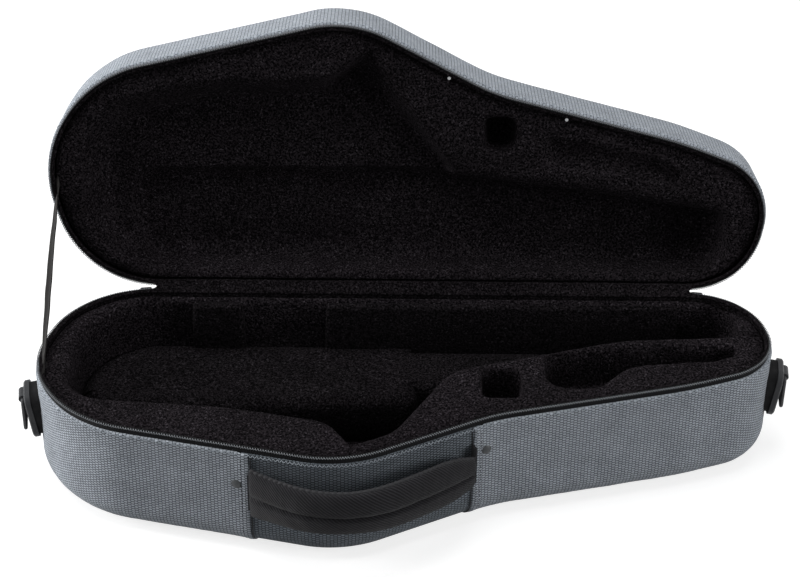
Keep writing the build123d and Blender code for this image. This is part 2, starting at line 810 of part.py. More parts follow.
cavity = hollow(scaled(base_cavity_shares), BASE, base_floor_depth, wall_draft_angle)
mouthpiece_pocket = hollow(scaled(mouthpiece_pocket_shares), BASE,
                           base_floor_depth * mouthpiece_depth_share, wall_draft_angle)
neck_pocket = hollow(scaled(neck_pocket_shares), BASE, base_floor_depth * neck_depth_share, wall_draft_angle)
base_foam = foam(BASE, land_drop) - cavity - mouthpiece_pocket - neck_pocket - stay_slot(BASE)
base_foam = base_foam - [washer_relief(place) for place in all_rivet_places]
neck_span = block(base_split_x_share * half_length, outside, -case_width,
                  hinge_y - base_split_d_share * case_width,
                  height_at(BASE, base_floor_depth), base_height)
base_neck_block = base_foam & neck_span
base_insert = base_foam - neck_span

back_pads = [prism(scaled(shares), BASE, 0.0, land_drop, base_floor_depth) & cavity
             for shares in (end_pad_shares, back_pad_shares)]
bow_pad = (pad(bow_pad_shares, bow_pad_height_share, bow_edge_radius) & cavity) - back_pads
body_pad = pad(body_pad_shares, body_pad_height_share, pad_edge_radius)

# Lid, built closed and then turned to where it stands open.
lid_skin = shell_between(LID, 0.0, panel_thickness, rim_gap) - zip_room(LID)
piping_middle = lid_edge_radius * (1 - cos(radians(45)))
piping_outer = piping_middle - piping_width / 2
piping_inner = piping_middle + piping_width / 2
piping_low = (lid_depth - lid_edge_radius + sewn_gap
              + sqrt((lid_edge_radius - shell_inset) ** 2 - (lid_edge_radius - piping_inner) ** 2))
piping_high = lid_depth - piping_middle + piping_proud
lid_seam = band(LID, piping_outer - sewn_gap, piping_inner + sewn_gap,
                lid_depth - lid_edge_radius, lid_depth + cut_over)
lid_pieces = (lid_skin - lid_seam).solids().sort_by(Axis.Z)
lid_piping = band(LID, piping_outer, piping_inner, piping_low, piping_high)

lid_shell = bare_shell(LID) - [tack_hole(stay_seat(LID) * Pos(0, 0, rise)) for rise in tack_rises]


def basin(mouth_shares, floor_shares, half, depth):
    """Pocket whose floor has its own outline, so its sides slope by different amounts."""
    mouth = outline(scaled(mouth_shares), height_at(half, 0.0), 0.0, True)
    floor = outline(scaled(floor_shares), height_at(half, depth), 0.0, True)
    return Solid.make_loft([floor, mouth] if half == BASE else [mouth, floor], ruled=True)


bell_basin = basin(lid_bell_shares, lid_bell_floor_shares, LID, lid_floor_depth * lid_bell_depth_share)
body_basin = hollow(scaled(lid_body_shares), LID, lid_floor_depth * lid_body_depth_share, wall_draft_angle)
lid_pit = hollow(scaled(lid_pit_shares), LID, lid_floor_depth * lid_pit_depth_share, wall_draft_angle)
crook_depth = lid_floor_depth * lid_crook_depth_share
crook_basin = hollow(scaled(lid_crook_shares), LID, crook_depth, soft_draft_angle)
lid_foam = prism(case_corners, LID, foam_inset[LID], land_drop, lid_back_depth)
lid_foam = lid_foam - bell_basin - body_basin - lid_pit - crook_basin - stay_slot(LID)
lining_tack_places = []
for share in lining_tack_shares:
    tack_point, tack_normal = front_wall(share * half_length, foam_inset[LID] + welt_width)
    lining_tack_places.append(Pos(tack_point.X, tack_point.Y, height_at(LID, land_drop)))
lining_tacks = [place * (Pos(0, 0, -tack_height / 2 - sewn_gap / 2) * Cylinder(tack_radius, tack_height)
                         + Pos(0, 0, (tack_shank_length - tack_height) / 2) * Cylinder(
                             tack_shank_radius, tack_shank_length)) for place in lining_tack_places]
tack_bore = Cylinder(tack_shank_radius + sewn_gap / 2, tack_shank_length)
tack_holes = [place * Pos(0, 0, tack_shank_length / 2) * tack_bore for place in lining_tack_places]
lid_foam = lid_foam - tack_holes
split_points = [(x * half_length, hinge_y - d * case_width) for x, d in lid_split_shares]
split_face = Face(Wire(Polyline(*split_points, close=True).edges()))
lid_span = Pos(0, 0, base_height) * Solid.extrude(
    split_face, Vector(0, 0, lid_floor_depth * lid_body_depth_share))
lid_neck_block = lid_foam & lid_span
lid_insert = lid_foam - lid_span
lid_insert_frame = foam(LID, lid_back_depth + sewn_gap) - prism(
    case_corners, LID, foam_inset[LID] + lid_frame_width, lid_back_depth - cut_over, lid_depth + cut_over)

parts = {
    "base_bottom_cover": base_underside,
    "base_cover_left_panel": base_left,
    "base_cover_right_panel": base_right,
    "base_handle_panel": handle_panel,
    "base_shell": base_shell,
    "base_zip_tape": zip_tape(BASE),
    "base_zip_coil": zip_coil(BASE),
    "base_rim_welt": rim_welt(BASE),
    "base_insert": base_insert,
    "base_neck_block": base_neck_block,
    "bow_pad": bow_pad,
    "body_pad": body_pad,
    "base_back_pad_left": back_pads[0],
    "base_back_pad_right": back_pads[1],
    "base_hinge_leaf": hinge_leaf(BASE),
    "handle_grip": handle_grip,
    "handle_strap_left": strap_end_left - [rivet_hole(place, insert_inset) for place in rivet_seats],
    "handle_strap_right": strap_end_right - [rivet_hole(place, insert_inset) for place in rivet_seats],
    "handle_rivets": Compound(children=[rivet(place, rivet_head_radius, rivet_head_height, -sewn_gap)
                                        for place in rivet_seats]),
    "handle_rivet_washers": Compound(children=[washer(place) for place in rivet_seats]),
    "stay_strap": stay_strap,
    "base_stay_tab": stay_tab(BASE),
    "base_stay_tacks": Compound(children=stay_tacks(BASE)),
    "lid_cover_side": to_open(lid_pieces[0]),
    "lid_cover_top": to_open(lid_pieces[-1]),
    "lid_piping": to_open(lid_piping),
    "lid_shell": to_open(lid_shell),
    "lid_zip_tape": to_open(zip_tape(LID)),
    "lid_zip_coil": to_open(zip_coil(LID)),
    "lid_rim_welt": to_open(rim_welt(LID)),
    "lid_insert": to_open(lid_insert),
    "lid_neck_block": to_open(lid_neck_block),
    "lid_insert_frame": to_open(lid_insert_frame),
    "lid_lining_tacks": to_open(Compound(children=lining_tacks)),
    "lid_hinge_leaf": to_open(hinge_leaf(LID)),
    "lid_stay_tab": to_open(stay_tab(LID)),
    "lid_stay_tacks": to_open(Compound(children=stay_tacks(LID))),
}
for name, seat in plate_seats.items():
    holes = [rivet_hole(place, insert_inset) for place in plate_rivet_places(seat)]
    spots = [spot_face(place, rise) for place, rise in zip(plate_rivet_places(seat), plate_rivet_rises)]
    parts["strap_plate_" + name] = strap_plate(seat) - holes - spots
    parts["strap_pad_" + name] = strap_pad(seat) - holes
    parts["strap_ring_" + name] = strap_ring(seat)
    parts["strap_rivets_" + name] = Compound(children=[
        rivet(place, rivet_head_radius, rivet_head_height, -plate_face(rise) - sewn_gap)
        for place, rise in zip(plate_rivet_places(seat), plate_rivet_rises)])
    parts["strap_washers_" + name] = Compound(children=[washer(place) for place in plate_rivet_places(seat)])
for name, seat in slider_seats.items():
    parts["zip_slider_" + name] = zip_slider(seat)
    parts["zip_pull_" + name] = zip_pull(seat)

for name, shape in parts.items():
    export_step(shape, "parts/" + name + ".step")
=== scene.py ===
from math import cos, pi, radians, sin, tan

import bpy
import numpy as np
from mathutils import Matrix, Vector


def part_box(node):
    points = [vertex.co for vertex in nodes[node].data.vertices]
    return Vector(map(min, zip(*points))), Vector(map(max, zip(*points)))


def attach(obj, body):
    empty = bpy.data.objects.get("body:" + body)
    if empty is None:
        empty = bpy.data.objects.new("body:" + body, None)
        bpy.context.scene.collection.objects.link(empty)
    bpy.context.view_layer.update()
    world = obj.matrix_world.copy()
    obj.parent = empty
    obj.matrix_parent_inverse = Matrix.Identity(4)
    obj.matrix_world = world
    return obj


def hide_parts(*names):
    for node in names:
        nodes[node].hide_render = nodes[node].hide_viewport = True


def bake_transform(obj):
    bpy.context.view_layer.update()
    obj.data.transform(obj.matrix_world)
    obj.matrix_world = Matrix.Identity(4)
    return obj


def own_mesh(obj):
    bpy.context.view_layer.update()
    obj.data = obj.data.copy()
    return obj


# A shaped zip case for an alto saxophone, standing open on its base. X runs along the
# hinge, -Y points to the handle, +Z is up and the origin is the centre of the base's
# underside. Lengths are in metres.
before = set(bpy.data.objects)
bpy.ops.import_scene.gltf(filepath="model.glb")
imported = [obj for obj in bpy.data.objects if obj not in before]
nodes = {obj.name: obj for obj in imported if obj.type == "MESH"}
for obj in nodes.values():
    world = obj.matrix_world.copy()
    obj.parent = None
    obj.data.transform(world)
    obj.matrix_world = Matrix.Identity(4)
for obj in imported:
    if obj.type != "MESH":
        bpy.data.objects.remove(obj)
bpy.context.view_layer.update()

# Camera: a long lens in front of the case that looks down on it, its horizon level but for
# half a degree.
camera_place = (-0.0060, -1.5064, 1.2267)
camera_pitch = radians(34.448)
camera_roll = radians(0.531)
camera_data = bpy.data.cameras.new("camera")
camera_data.lens = 99.74
camera_data.sensor_width = 36.0
camera_data.sensor_fit = "HORIZONTAL"
camera_data.clip_end = 60.0
camera = bpy.data.objects.new("camera", camera_data)
bpy.context.collection.objects.link(camera)
camera.matrix_world = (Matrix.Translation(camera_place) @ Matrix.Rotation(pi / 2 - camera_pitch, 4, "X")
                       @ Matrix.Rotation(camera_roll, 4, "Z"))
bpy.context.scene.camera = camera
bpy.context.scene.view_settings.view_transform = "Standard"


# Outer fabric of the base: two side panels of honeycomb weave over the moulded shell, cut
# from cloth laminated on thin padding, glued and sewn, their edges turned in at the two
# front seams and at the zip. Between the seams lies a thinner panel of a darker cloth.
case_length = 0.630
case_width = 0.2415
hinge_y = case_width / 2
base_height = 0.110
lid_depth = 0.070
base_edge_radius = 0.027
lid_edge_radius = 0.016
panel_thickness = 0.0024
handle_panel_inset = 0.0012
zip_band_height = 0.007
rim_gap = 0.0003
hem = 0.0020
seam_left_x = -0.127
seam_right_x = 0.056
seam_lap = 0.007
BASE, LID = -1, 1
halves = ((BASE, "base"), (LID, "lid"))
lid_open_angle = radians(103.3)
case_corner_shares = (
    (-0.917, 0.000, 0.379), (-1.026, 0.482, 0.390), (-0.877, 0.801, 0.447), (-0.159, 1.024, 0.418),
    (0.234, 0.754, 0.669), (0.759, 0.576, 1.656), (1.028, 0.442, 0.240), (0.965, 0.000, 0.273),
)


def rounded_runs(shares):
    """Runs of a closed outline, counterclockwise: start x, start y, heading, curvature, length.

    Corners are shares of the half length, of the width from the hinge, and of the width for
    the radius. An arc takes radius * tan(turn / 2) off both sides of its corner. A straight
    side has no curvature, and an arc's is one over its radius, negative where it is hollow.
    """
    share = np.array(shares)
    points = np.column_stack([share[:, 0] * case_length / 2, hinge_y - share[:, 1] * case_width])
    radii = share[:, 2] * case_width
    sides = np.roll(points, -1, axis=0) - points
    after = np.arctan2(sides[:, 1], sides[:, 0])
    before = np.roll(after, 1)
    turn = (after - before + pi) % (2 * pi) - pi
    reach = (radii * np.tan(np.abs(turn) / 2))[:, None]
    start = points - reach * np.column_stack([np.cos(before), np.sin(before)])
    end = points + reach * np.column_stack([np.cos(after), np.sin(after)])
    side_length = np.linalg.norm(np.roll(start, -1, axis=0) - end, axis=1)
    arcs = np.column_stack([start, before, np.sign(turn) / radii, radii * np.abs(turn)])
    straights = np.column_stack([end, after, np.zeros(len(share)), side_length])
    return np.stack([arcs, straights], 1).reshape(-1, 5)


def along(runs, s):
    """Points and outward normals at distances s round an outline.

    At t into a run of curvature k the heading is h + k t, and the chord from the run's start
    has the length t sin(k t / 2) / (k t / 2) and the heading h + k t / 2.
    """
    marks = np.concatenate([[0.0], np.cumsum(runs[:, 4])])
    s = np.mod(s, marks[-1])
    index = np.clip(np.searchsorted(marks, s, side="right") - 1, 0, len(runs) - 1)
    x, y, heading, bend = (runs[index, i] for i in range(4))
    t = s - marks[index]
    chord = t * np.sinc(bend * t / 2 / pi)
    middle = heading + bend * t / 2
    point = np.stack([x + chord * np.cos(middle), y + chord * np.sin(middle)], -1)
    turned = heading + bend * t
    return point, np.stack([np.sin(turned), -np.cos(turned)], -1)


case_runs = rounded_runs(case_corner_shares)
zip_length = case_runs[:-1, 4].sum()
round_length = case_runs[:, 4].sum()
hinge_half = case_runs[-1, 4] / 2


def front_distance(x):
    """Distance round the outline to the front wall's point at x, found on a fine table."""
    s = np.linspace(0.0, zip_length, 4000)
    point, normal = along(case_runs, s)
    front = normal[:, 1] < -0.2
    return float(np.interp(x, point[front, 0], s[front]))


def at_height(flat, height):
    """Places in plan lifted to a height, one for all of them or one for each."""
    return np.concatenate([flat, np.broadcast_to(height, flat.shape[:-1])[..., None]], -1)


def wall(s, inset, depth, half):
    """Points at distances s round the case, moved inwards by the inset, at a depth from the
    parting plane: down in the base, up in the closed lid."""
    point, normal = along(case_runs, s)
    return at_height(point - normal * np.asarray(inset)[..., None], base_height + half * np.asarray(depth))


def down_wall(q, inset, height, edge_radius):
    """Inset and depth at a distance q down a wall: straight, then a quarter circle inwards."""
    straight = height - edge_radius
    angle = np.clip((q - straight) / edge_radius, 0.0, pi / 2)
    radius = edge_radius - inset
    return inset + radius * (1 - np.cos(angle)), np.minimum(q, straight) + radius * np.sin(angle)


def ripple(u, v, size):
    """Soft unevenness between -1 and 1: a mean of four crossed sine waves of unlike lengths."""
    a, b = u / size, v / size
    return (np.sin(6.1 * a + 1.3 * b) + np.sin(3.7 * a - 5.2 * b + 1.9) + np.sin(9.4 * a + 4.4 * b + 0.7)
            + np.sin(2.3 * a + 8.8 * b + 4.1)) / 4


def quads(rows, columns, wrap=False, first=0):
    """Faces of a grid of points numbered row by row. With wrap, its last column meets the first."""
    r, c = np.meshgrid(np.arange(rows - 1), np.arange(columns if wrap else columns - 1), indexing="ij")
    n = (c + 1) % columns
    faces = np.stack([r * columns + c, r * columns + n, (r + 1) * columns + n, (r + 1) * columns + c], -1)
    return faces.reshape(-1, 4) + first


def ring_quads(rows, columns):
    """Faces of a grid of points that closes both ways, like a hoop."""
    line = np.arange(columns)
    after = (line + 1) % columns
    last = (rows - 1) * columns
    closing = np.stack([line + last, after + last, after, line], -1)
    return np.concatenate([quads(rows, columns, True), closing])


def capped(rows, sides):
    """Faces of a tube of rings, with a flat face at both ends."""
    faces = [list(face) for face in quads(rows, sides, True)]
    return faces + [list(range(sides))[::-1], [(rows - 1) * sides + i for i in range(sides)]]


def places(u, v):
    """Pairs of two coordinates over one grid."""
    return np.stack(np.broadcast_arrays(u, v), -1)


def put(name, points, faces, uv=None, around=0.0, sharp=40.0):
    """Mesh object. uv has one place for each point, and around is a closed run's length, so
    that a face across its seam reads on past the end."""
    mesh = bpy.data.meshes.new(name)
    mesh.from_pydata(np.reshape(points, (-1, 3)).tolist(), [], [list(map(int, face)) for face in faces])
    mesh.shade_smooth()
    mesh.set_sharp_from_angle(angle=radians(sharp))
    if uv is not None:
        corner = np.empty(len(mesh.loops), dtype=np.int32)
        mesh.loops.foreach_get("vertex_index", corner)
        place = np.reshape(uv, (-1, 2))[corner].astype(np.float32)
        if around:
            face = place.reshape(-1, 4, 2)
            over = face[:, :, 0].max(1, keepdims=True) - face[:, :, 0] > around / 2
            face[:, :, 0] += over * around
        mesh.uv_layers.new(name="UVMap").data.foreach_set("uv", place.ravel())
    made = bpy.data.objects.new(name, mesh)
    bpy.context.collection.objects.link(made)
    return made


def slab(name, outer, inner, uv, wrap=False, flip=False, around=0.0, sharp=40.0):
    """Closed cloth between two grids of points, its outer and inner face, joined at their rims."""
    rows, columns = outer.shape[:2]
    count = rows * columns
    faces = [quads(rows, columns, wrap), quads(rows, columns, wrap, count)[:, ::-1]]
    line = np.arange(columns + 1) % columns if wrap else np.arange(columns)
    edges = [(line, True), (line + (rows - 1) * columns, False)]
    if not wrap:
        side = np.arange(rows) * columns
        edges += [(side, False), (side + columns - 1, True)]
    for edge, turned in edges:
        strip = np.stack([edge[:-1], edge[1:], edge[1:] + count, edge[:-1] + count], -1)
        faces.append(strip[:, ::-1] if turned else strip)
    faces = np.concatenate(faces)
    points = np.concatenate([outer.reshape(-1, 3), inner.reshape(-1, 3)])
    both = np.concatenate([uv.reshape(-1, 2), uv.reshape(-1, 2)])
    return put(name, points, faces[:, ::-1] if flip else faces, both, around, sharp)


def settle(made, material, slot, body, *stands_for, fill=None):
    """Gives a piece its material, hides the nodes it stands for and hangs it on the body it
    rides on. The slot and fill are not used. One that bends between two bodies gets no body."""
    made.data.materials.append(material)
    if stands_for:
        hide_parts(*stands_for)
    if body:
        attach(made, body)


def turned_in(distance, width, depth):
    """How far a turned edge falls back at a distance from it: a quarter round of that width."""
    left = np.clip(1 - distance / width, 0.0, 1.0)
    return depth * (1 - np.sqrt(1 - left ** 2))


def add(tree, kind, inputs=(), **settings):
    """One shader node. An input is a number, a colour or another node's output."""
    made = tree.nodes.new(kind)
    for name, value in settings.items():
        setattr(made, name, value)
    for name, value in dict(inputs).items():
        if isinstance(value, bpy.types.NodeSocket):
            tree.links.new(value, made.inputs[name])
        else:
            made.inputs[name].default_value = value
    return made


def blank_material(name, reads="Object", **constants):
    """New material, its node tree and the coordinates it reads, if any. The constants are
    sockets of its Principled shader."""
    made = bpy.data.materials.new(name)
    made.use_nodes = True
    tree = made.node_tree
    for socket, value in constants.items():
        tree.nodes["Principled BSDF"].inputs[socket.replace("_", " ")].default_value = value
    return made, tree, add(tree, "ShaderNodeTexCoord").outputs[reads] if reads else None


def noise(tree, place, scale, detail, **inputs):
    """Soft noise of one size over a place."""
    inputs = {"Vector": place, "Scale": scale, "Detail": detail, **inputs}
    return add(tree, "ShaderNodeTexNoise", inputs).outputs["Fac"]


def spread(tree, value, low, high, to_low, to_high):
    """A value's range from low to high stretched onto another range, and cut off past its ends."""
    return add(tree, "ShaderNodeMapRange", {0: value, 1: low, 2: high, 3: to_low, 4: to_high}).outputs[0]


def maths(tree, operation, *values):
    """One sum on numbers and sockets."""
    return add(tree, "ShaderNodeMath", dict(enumerate(values)), operation=operation).outputs[0]


def tone(tree, share, dark, light):
    """Colour between two: dark where the share is 0 and light where it is 1."""
    dark, light = (end if isinstance(end, bpy.types.NodeSocket) else (*end, 1) for end in (dark, light))
    return add(tree, "ShaderNodeMix", {0: share, 6: dark, 7: light}, data_type="RGBA").outputs[2]


def scaled(tree, colour, by):
    """Colour made lighter or darker by a factor."""
    return add(tree, "ShaderNodeVectorMath", {0: colour, 3: by}, operation="SCALE").outputs[0]


def join(tree, colour, height=None, strength=0.0, distance=0.0, **more):
    """Leads a colour, the bump of a height and other named sockets into the Principled shader."""
    if height:
        bump = add(tree, "ShaderNodeBump", {"Height": height, "Strength": strength, "Distance": distance})
        more["Normal"] = bump.outputs["Normal"]
    for socket, value in (("Base Color", colour), *more.items()):
        tree.links.new(value, tree.nodes["Principled BSDF"].inputs[socket])


# Honeycomb weave: upright columns of offset cells, their gaps darker and deeper, and the
# whole cloth a little uneven in tone. Cell sizes are in millimetres. Stretched across the
# columns, the gaps beside a cell are narrower than those above and below it.
cell_width, cell_height = 3.06, 2.6
column_stretch = 1.8
honeycomb = bpy.data.node_groups.new("honeycomb weave", "ShaderNodeTree")
for socket, way, kind in (
        ("Place", "INPUT", "NodeSocketVector"), ("Thread", "INPUT", "NodeSocketColor"),
        ("Gap", "INPUT", "NodeSocketColor"), ("Colour", "OUTPUT", "NodeSocketColor"),
        ("Height", "OUTPUT", "NodeSocketFloat")):
    honeycomb.interface.new_socket(socket, in_out=way, socket_type=kind)
given, gives = honeycomb.nodes.new("NodeGroupInput").outputs, honeycomb.nodes.new("NodeGroupOutput").inputs
axes = add(honeycomb, "ShaderNodeSeparateXYZ", {"Vector": given["Place"]})
across = maths(honeycomb, "MULTIPLY", axes.outputs["X"], column_stretch)
upright = add(honeycomb, "ShaderNodeCombineXYZ", {"X": axes.outputs["Y"], "Y": across})
cells = add(honeycomb, "ShaderNodeTexBrick", {
    "Vector": upright.outputs[0], "Color1": (1, 1, 1, 1), "Color2": (0.74, 0.74, 0.74, 1),
    "Mortar": (0, 0, 0, 1), "Scale": 1000.0, "Mortar Size": 0.56, "Mortar Smooth": 0.4,
    "Brick Width": cell_height, "Row Height": cell_width * column_stretch})
lit_cells = maths(honeycomb, "MULTIPLY", cells.outputs["Color"], 0.92)
fibre = noise(honeycomb, given["Place"], 1500.0, 1.0)
height = maths(honeycomb, "MULTIPLY_ADD", fibre, 0.22, lit_cells)
shade = spread(honeycomb, noise(honeycomb, given["Place"], 38.0, 3.0), 0.3, 0.7, 0.90, 1.07)
colour = scaled(honeycomb, tone(honeycomb, height, given["Gap"], given["Thread"]), shade)
honeycomb.links.new(colour, gives["Colour"])
honeycomb.links.new(height, gives["Height"])


def honeycomb_material(name, thread, gap, reads, bump=0.7):
    """Matt cloth of the honeycomb weave, read from the UV map or from Object coordinates."""
    made, tree, place = blank_material(name, reads, Roughness=0.92, Specular_IOR_Level=0.12,
                                       Sheen_Weight=0.08)
    weave = add(tree, "ShaderNodeGroup", {"Place": place, "Thread": (*thread, 1), "Gap": (*gap, 1)},
                node_tree=honeycomb)
    join(tree, weave.outputs["Colour"], weave.outputs["Height"], bump, 0.0006)
    return made


cover_cloth = honeycomb_material("cover_cloth", (0.500, 0.540, 0.595), (0.040, 0.048, 0.058), "UV")
bottom_cloth = honeycomb_material("bottom_cloth", (0.20, 0.215, 0.235), (0.09, 0.10, 0.115), "Object")
handle_cloth = honeycomb_material("handle_cloth", (0.215, 0.244, 0.276), (0.012, 0.015, 0.019), "UV", 0.9)
pucker_height = 0.00022
ripple_height, ripple_size = 0.00022, 0.055
fine_ripple_height, fine_ripple_size = 0.00010, 0.019
hem_fall, seam_fall = 0.0011, 0.0010
fold_height, fold_place, fold_width = 0.00060, 0.0040, 0.0032
lap_thinning = 0.00125
edge_rows = np.array([0.0, 0.0004, 0.0010, 0.0018, 0.0030])
even_from, row_step = 0.0055, 0.0032
column_step = 0.0025
seam_left_s = front_distance(seam_left_x)
seam_right_s = front_distance(seam_right_x)
back_middle_s = zip_length + hinge_half
side_length = base_height - base_edge_radius + base_edge_radius * pi / 2


def cover_top(s):
    """Distance from the rim to the cover's edge: the zip's band beside the zip, and nearly none
    along the hinge, changing over a few millimetres."""
    past = np.minimum(np.mod(s, round_length), zip_length + 0.004)
    near = np.minimum(np.mod(s + 0.004, round_length), zip_length + 0.008 - past)
    return rim_gap + (zip_band_height - rim_gap) * np.clip(near / 0.003, 0.0, 1.0)


def pucker(s, below):
    """How far the zip's stitches draw the cloth in, fading over six millimetres below them."""
    return pucker_height * np.sin(s / 0.0021 + 2 * np.sin(s / 0.013)) * np.exp(-below / 0.006)


def on_wall(s, q, by, height, edge_radius, half):
    """Points at distances s round the case and q down its wall, moved squarely inwards by a
    distance, round the wall's edge too."""
    face_in, face_depth = down_wall(q, 0.0, height, edge_radius)
    angle = np.clip((q - height + edge_radius) / edge_radius, 0.0, pi / 2)
    return wall(s, face_in + by * np.cos(angle), face_depth - by * np.sin(angle), half)


def side_panel(s_from, s_to, seams, face_inset, lap):
    """Panel of the base's cover: columns at distances s, rows at distances q down the wall.

    The face is the wall moved by soft ripples, puckered beside the zip by its stitches, and
    falls back in a quarter round at its top edge and at the seams, with a low fold beside
    each seam. One that laps under its neighbours lies plain.
    """
    columns = int((s_to - s_from) / column_step)
    close = np.array([0.0, 0.12, 0.3, 0.6])
    share = np.sort(np.concatenate([close, np.arange(1, columns), columns - close])) / columns
    below = side_length - zip_band_height
    down = np.concatenate([edge_rows, np.arange(even_from, below, row_step), [below]])
    wave = 0.0007 * np.sin(down / 0.011 + 1.0) + 0.0004 * np.sin(down / 0.0047)
    first = s_from + wave * (seams[0] > 0) - lap
    last = s_to + wave[::-1] * (seams[1] > 0) + lap
    s = first[:, None] + (last - first)[:, None] * share[None, :]
    top = cover_top(s)
    q = top + (down[:, None] / down[-1]) * (side_length - top)
    out = (ripple_height * ripple(s, q, ripple_size)
           + fine_ripple_height * ripple(s, q, fine_ripple_size) - pucker(s, q - top))
    inset = face_inset - out * (lap == 0) + turned_in(q - top, hem, hem_fall * (lap == 0))
    inner = np.full_like(s, panel_thickness)
    for edge, distance in zip(seams, (s - s_from - wave[:, None], s_to + wave[::-1][:, None] - s)):
        if edge:
            inset = inset + turned_in(distance, hem, seam_fall)
            inset = inset - fold_height * np.exp(-((distance - fold_place) / fold_width) ** 2)
            inner = inner - lap_thinning * (distance < seam_lap + 0.001)
    outer, inner = (on_wall(s, q, by, base_height, base_edge_radius, BASE) for by in (inset, inner))
    return outer, inner, places(s, q)


for name, s_from, s_to, seams, face_inset, lap, material, slot, node in (
        ("base_left_cover", back_middle_s - round_length, seam_left_s, (0, 1), 0.0, 0.0,
         cover_cloth, "cover_fabric", "base_cover_left_panel"),
        ("base_right_cover", seam_right_s, back_middle_s, (1, 0), 0.0, 0.0,
         cover_cloth, "cover_fabric", "base_cover_right_panel"),
        ("base_handle_cover", seam_left_s, seam_right_s, (0, 0), handle_panel_inset, seam_lap,
         handle_cloth, "ribbed_fabric", "base_handle_panel")):
    panel = slab(name, *side_panel(s_from, s_to, seams, face_inset, lap), flip=True)
    settle(panel, material, slot, "base", node)


def finish_nodes(material, *names):
    """Gives frame nodes their finish. Their meshes and places stay as they are."""
    for name in names:
        nodes[name].data.materials.clear()
        nodes[name].data.materials.append(material)


finish_nodes(bottom_cloth, "base_bottom_cover")


# Moulded shells, whose rims carry the lining's pile, and the bound edges of the lining: the
# plush turned over each rim in a narrow roll and sewn down, all round.
welt_inset = 0.0049
welt_depth = 0.0017
welt_half_width = 0.00150
welt_half_height = 0.00138


def open_lid(points):
    """Points of the closed lid turned about the hinge line to where it stands open."""
    y, z = points[..., 1] - hinge_y, points[..., 2] - base_height
    c, s = cos(-lid_open_angle), sin(-lid_open_angle)
    return np.stack([points[..., 0], hinge_y + y * c - z * s, base_height + y * s + z * c], -1)


def stand(points, half):
    """Points of a half as it stands: the lid's are turned open."""
    return open_lid(points) if half == LID else points


def plush_material(name, pile, deep, glint):
    """Short black pile: fine grain in two tones, with painted glints of light here and there."""
    made, tree, place = blank_material(name, Roughness=1.0, Specular_IOR_Level=0.03)
    grain = spread(tree, noise(tree, place, 580.0, 2.0), 0.41, 0.61, 0.0, 1.0)
    # The lighter specks are painted highlight: glints on the pile, put into its colour.
    glint_noise = add(tree, "ShaderNodeTexNoise", {"Vector": place, "Scale": 500.0, "Detail": 2.0, "W": 3.0},
               noise_dimensions="4D")
    glint_mask = spread(tree, glint_noise.outputs["Fac"], 0.57, 0.74, 0.0, 1.0)
    lean = spread(tree, noise(tree, place, 24.0, 3.0, Distortion=0.6), 0.3, 0.7, 0.78, 1.22)
    lit = tone(tree, glint_mask, tone(tree, grain, deep, pile), glint)
    join(tree, scaled(tree, lit, lean), grain, 0.8, 0.0006)
    return made


edge_plush = plush_material("edge_plush", (0.0120, 0.0100, 0.0116), (0.0012, 0.0010, 0.0012),
                            (0.036, 0.032, 0.036))
finish_nodes(edge_plush, "base_shell", "lid_shell")
welt_columns, hoop_sides = 620, 10
hoop_turn = np.linspace(0, 2 * pi, hoop_sides + 1)[:-1, None]
for half, body in halves:
    s = np.linspace(0, round_length, welt_columns, endpoint=False)[None, :]
    fat = 1 + 0.05 * ripple(s, 0 * s, 0.03)
    points = wall(s, welt_inset - welt_half_width * fat * np.cos(hoop_turn),
                  welt_depth + welt_half_height * fat * np.sin(hoop_turn), half)
    faces = ring_quads(hoop_sides, welt_columns)
    welt = put(body + "_lining_edge", stand(points, half), faces[:, ::-1] if half == LID else faces,
               places(s, hoop_turn / 2 / pi * 0.009), round_length, 60)
    settle(welt, edge_plush, "lining_welt", body, body + "_rim_welt")

# Zip: a woven black tape whose lower edge is sewn under the fabric, and on its free edge a
# coil of nylon wire, wound in one long helix and flattened a little.
tape_inset = 0.0025
tape_thickness = 0.0008
tape_low = 0.0130
zip_overrun = 0.0005
coil_pitch = 0.0022
coil_wire = 0.00040
coil_inset = 0.00165
coil_depth = 0.00122
coil_half_width = 0.00062
coil_half_height = 0.00066


def moulded_material(name, light, dark, rough, grain, bump):
    """Satin moulded plastic: two close tones mottled at one grain size, with a fine pebble."""
    made, tree, place = blank_material(name, Specular_IOR_Level=0.25)
    pebble = noise(tree, place, 1.0 / grain, 3.0, Roughness=0.6)
    gloss = spread(tree, noise(tree, place, 90.0, 5.0), 0.35, 0.65, rough - 0.08, rough + 0.1)
    join(tree, tone(tree, pebble, dark, light), pebble, bump, 0.0004, Roughness=gloss)
    return made


def ribbed_material(name, light, dark, pitch, across=0.35, bump=0.6, rough=0.9, direction="X"):
    """Cloth with ribs at one pitch along the UV map's u, and finer threads across them.

    A wave texture of scale 1 repeats every 0.314 m.
    """
    made, tree, place = blank_material(name, "UV", Roughness=rough, Specular_IOR_Level=0.07,
                                       Sheen_Weight=0.1)
    ribs = add(tree, "ShaderNodeTexWave", {
        "Vector": place, "Scale": 0.314 / pitch, "Distortion": 0.6, "Detail": 1.0, "Detail Scale": 2.0},
        wave_type="BANDS", bands_direction=direction)
    threads = add(tree, "ShaderNodeTexWave", {
        "Vector": place, "Scale": 0.314 / (pitch * across), "Distortion": 0.8},
        wave_type="BANDS", bands_direction="Y")
    lift = maths(tree, "MULTIPLY", threads.outputs["Fac"], 0.35)
    both = maths(tree, "MULTIPLY_ADD", ribs.outputs["Fac"], 0.65, lift)
    worn = spread(tree, noise(tree, place, 55.0, 4.0), 0.3, 0.7, 0.86, 1.12)
    join(tree, scaled(tree, tone(tree, both, dark, light), worn), both, bump, 0.0005)
    return made


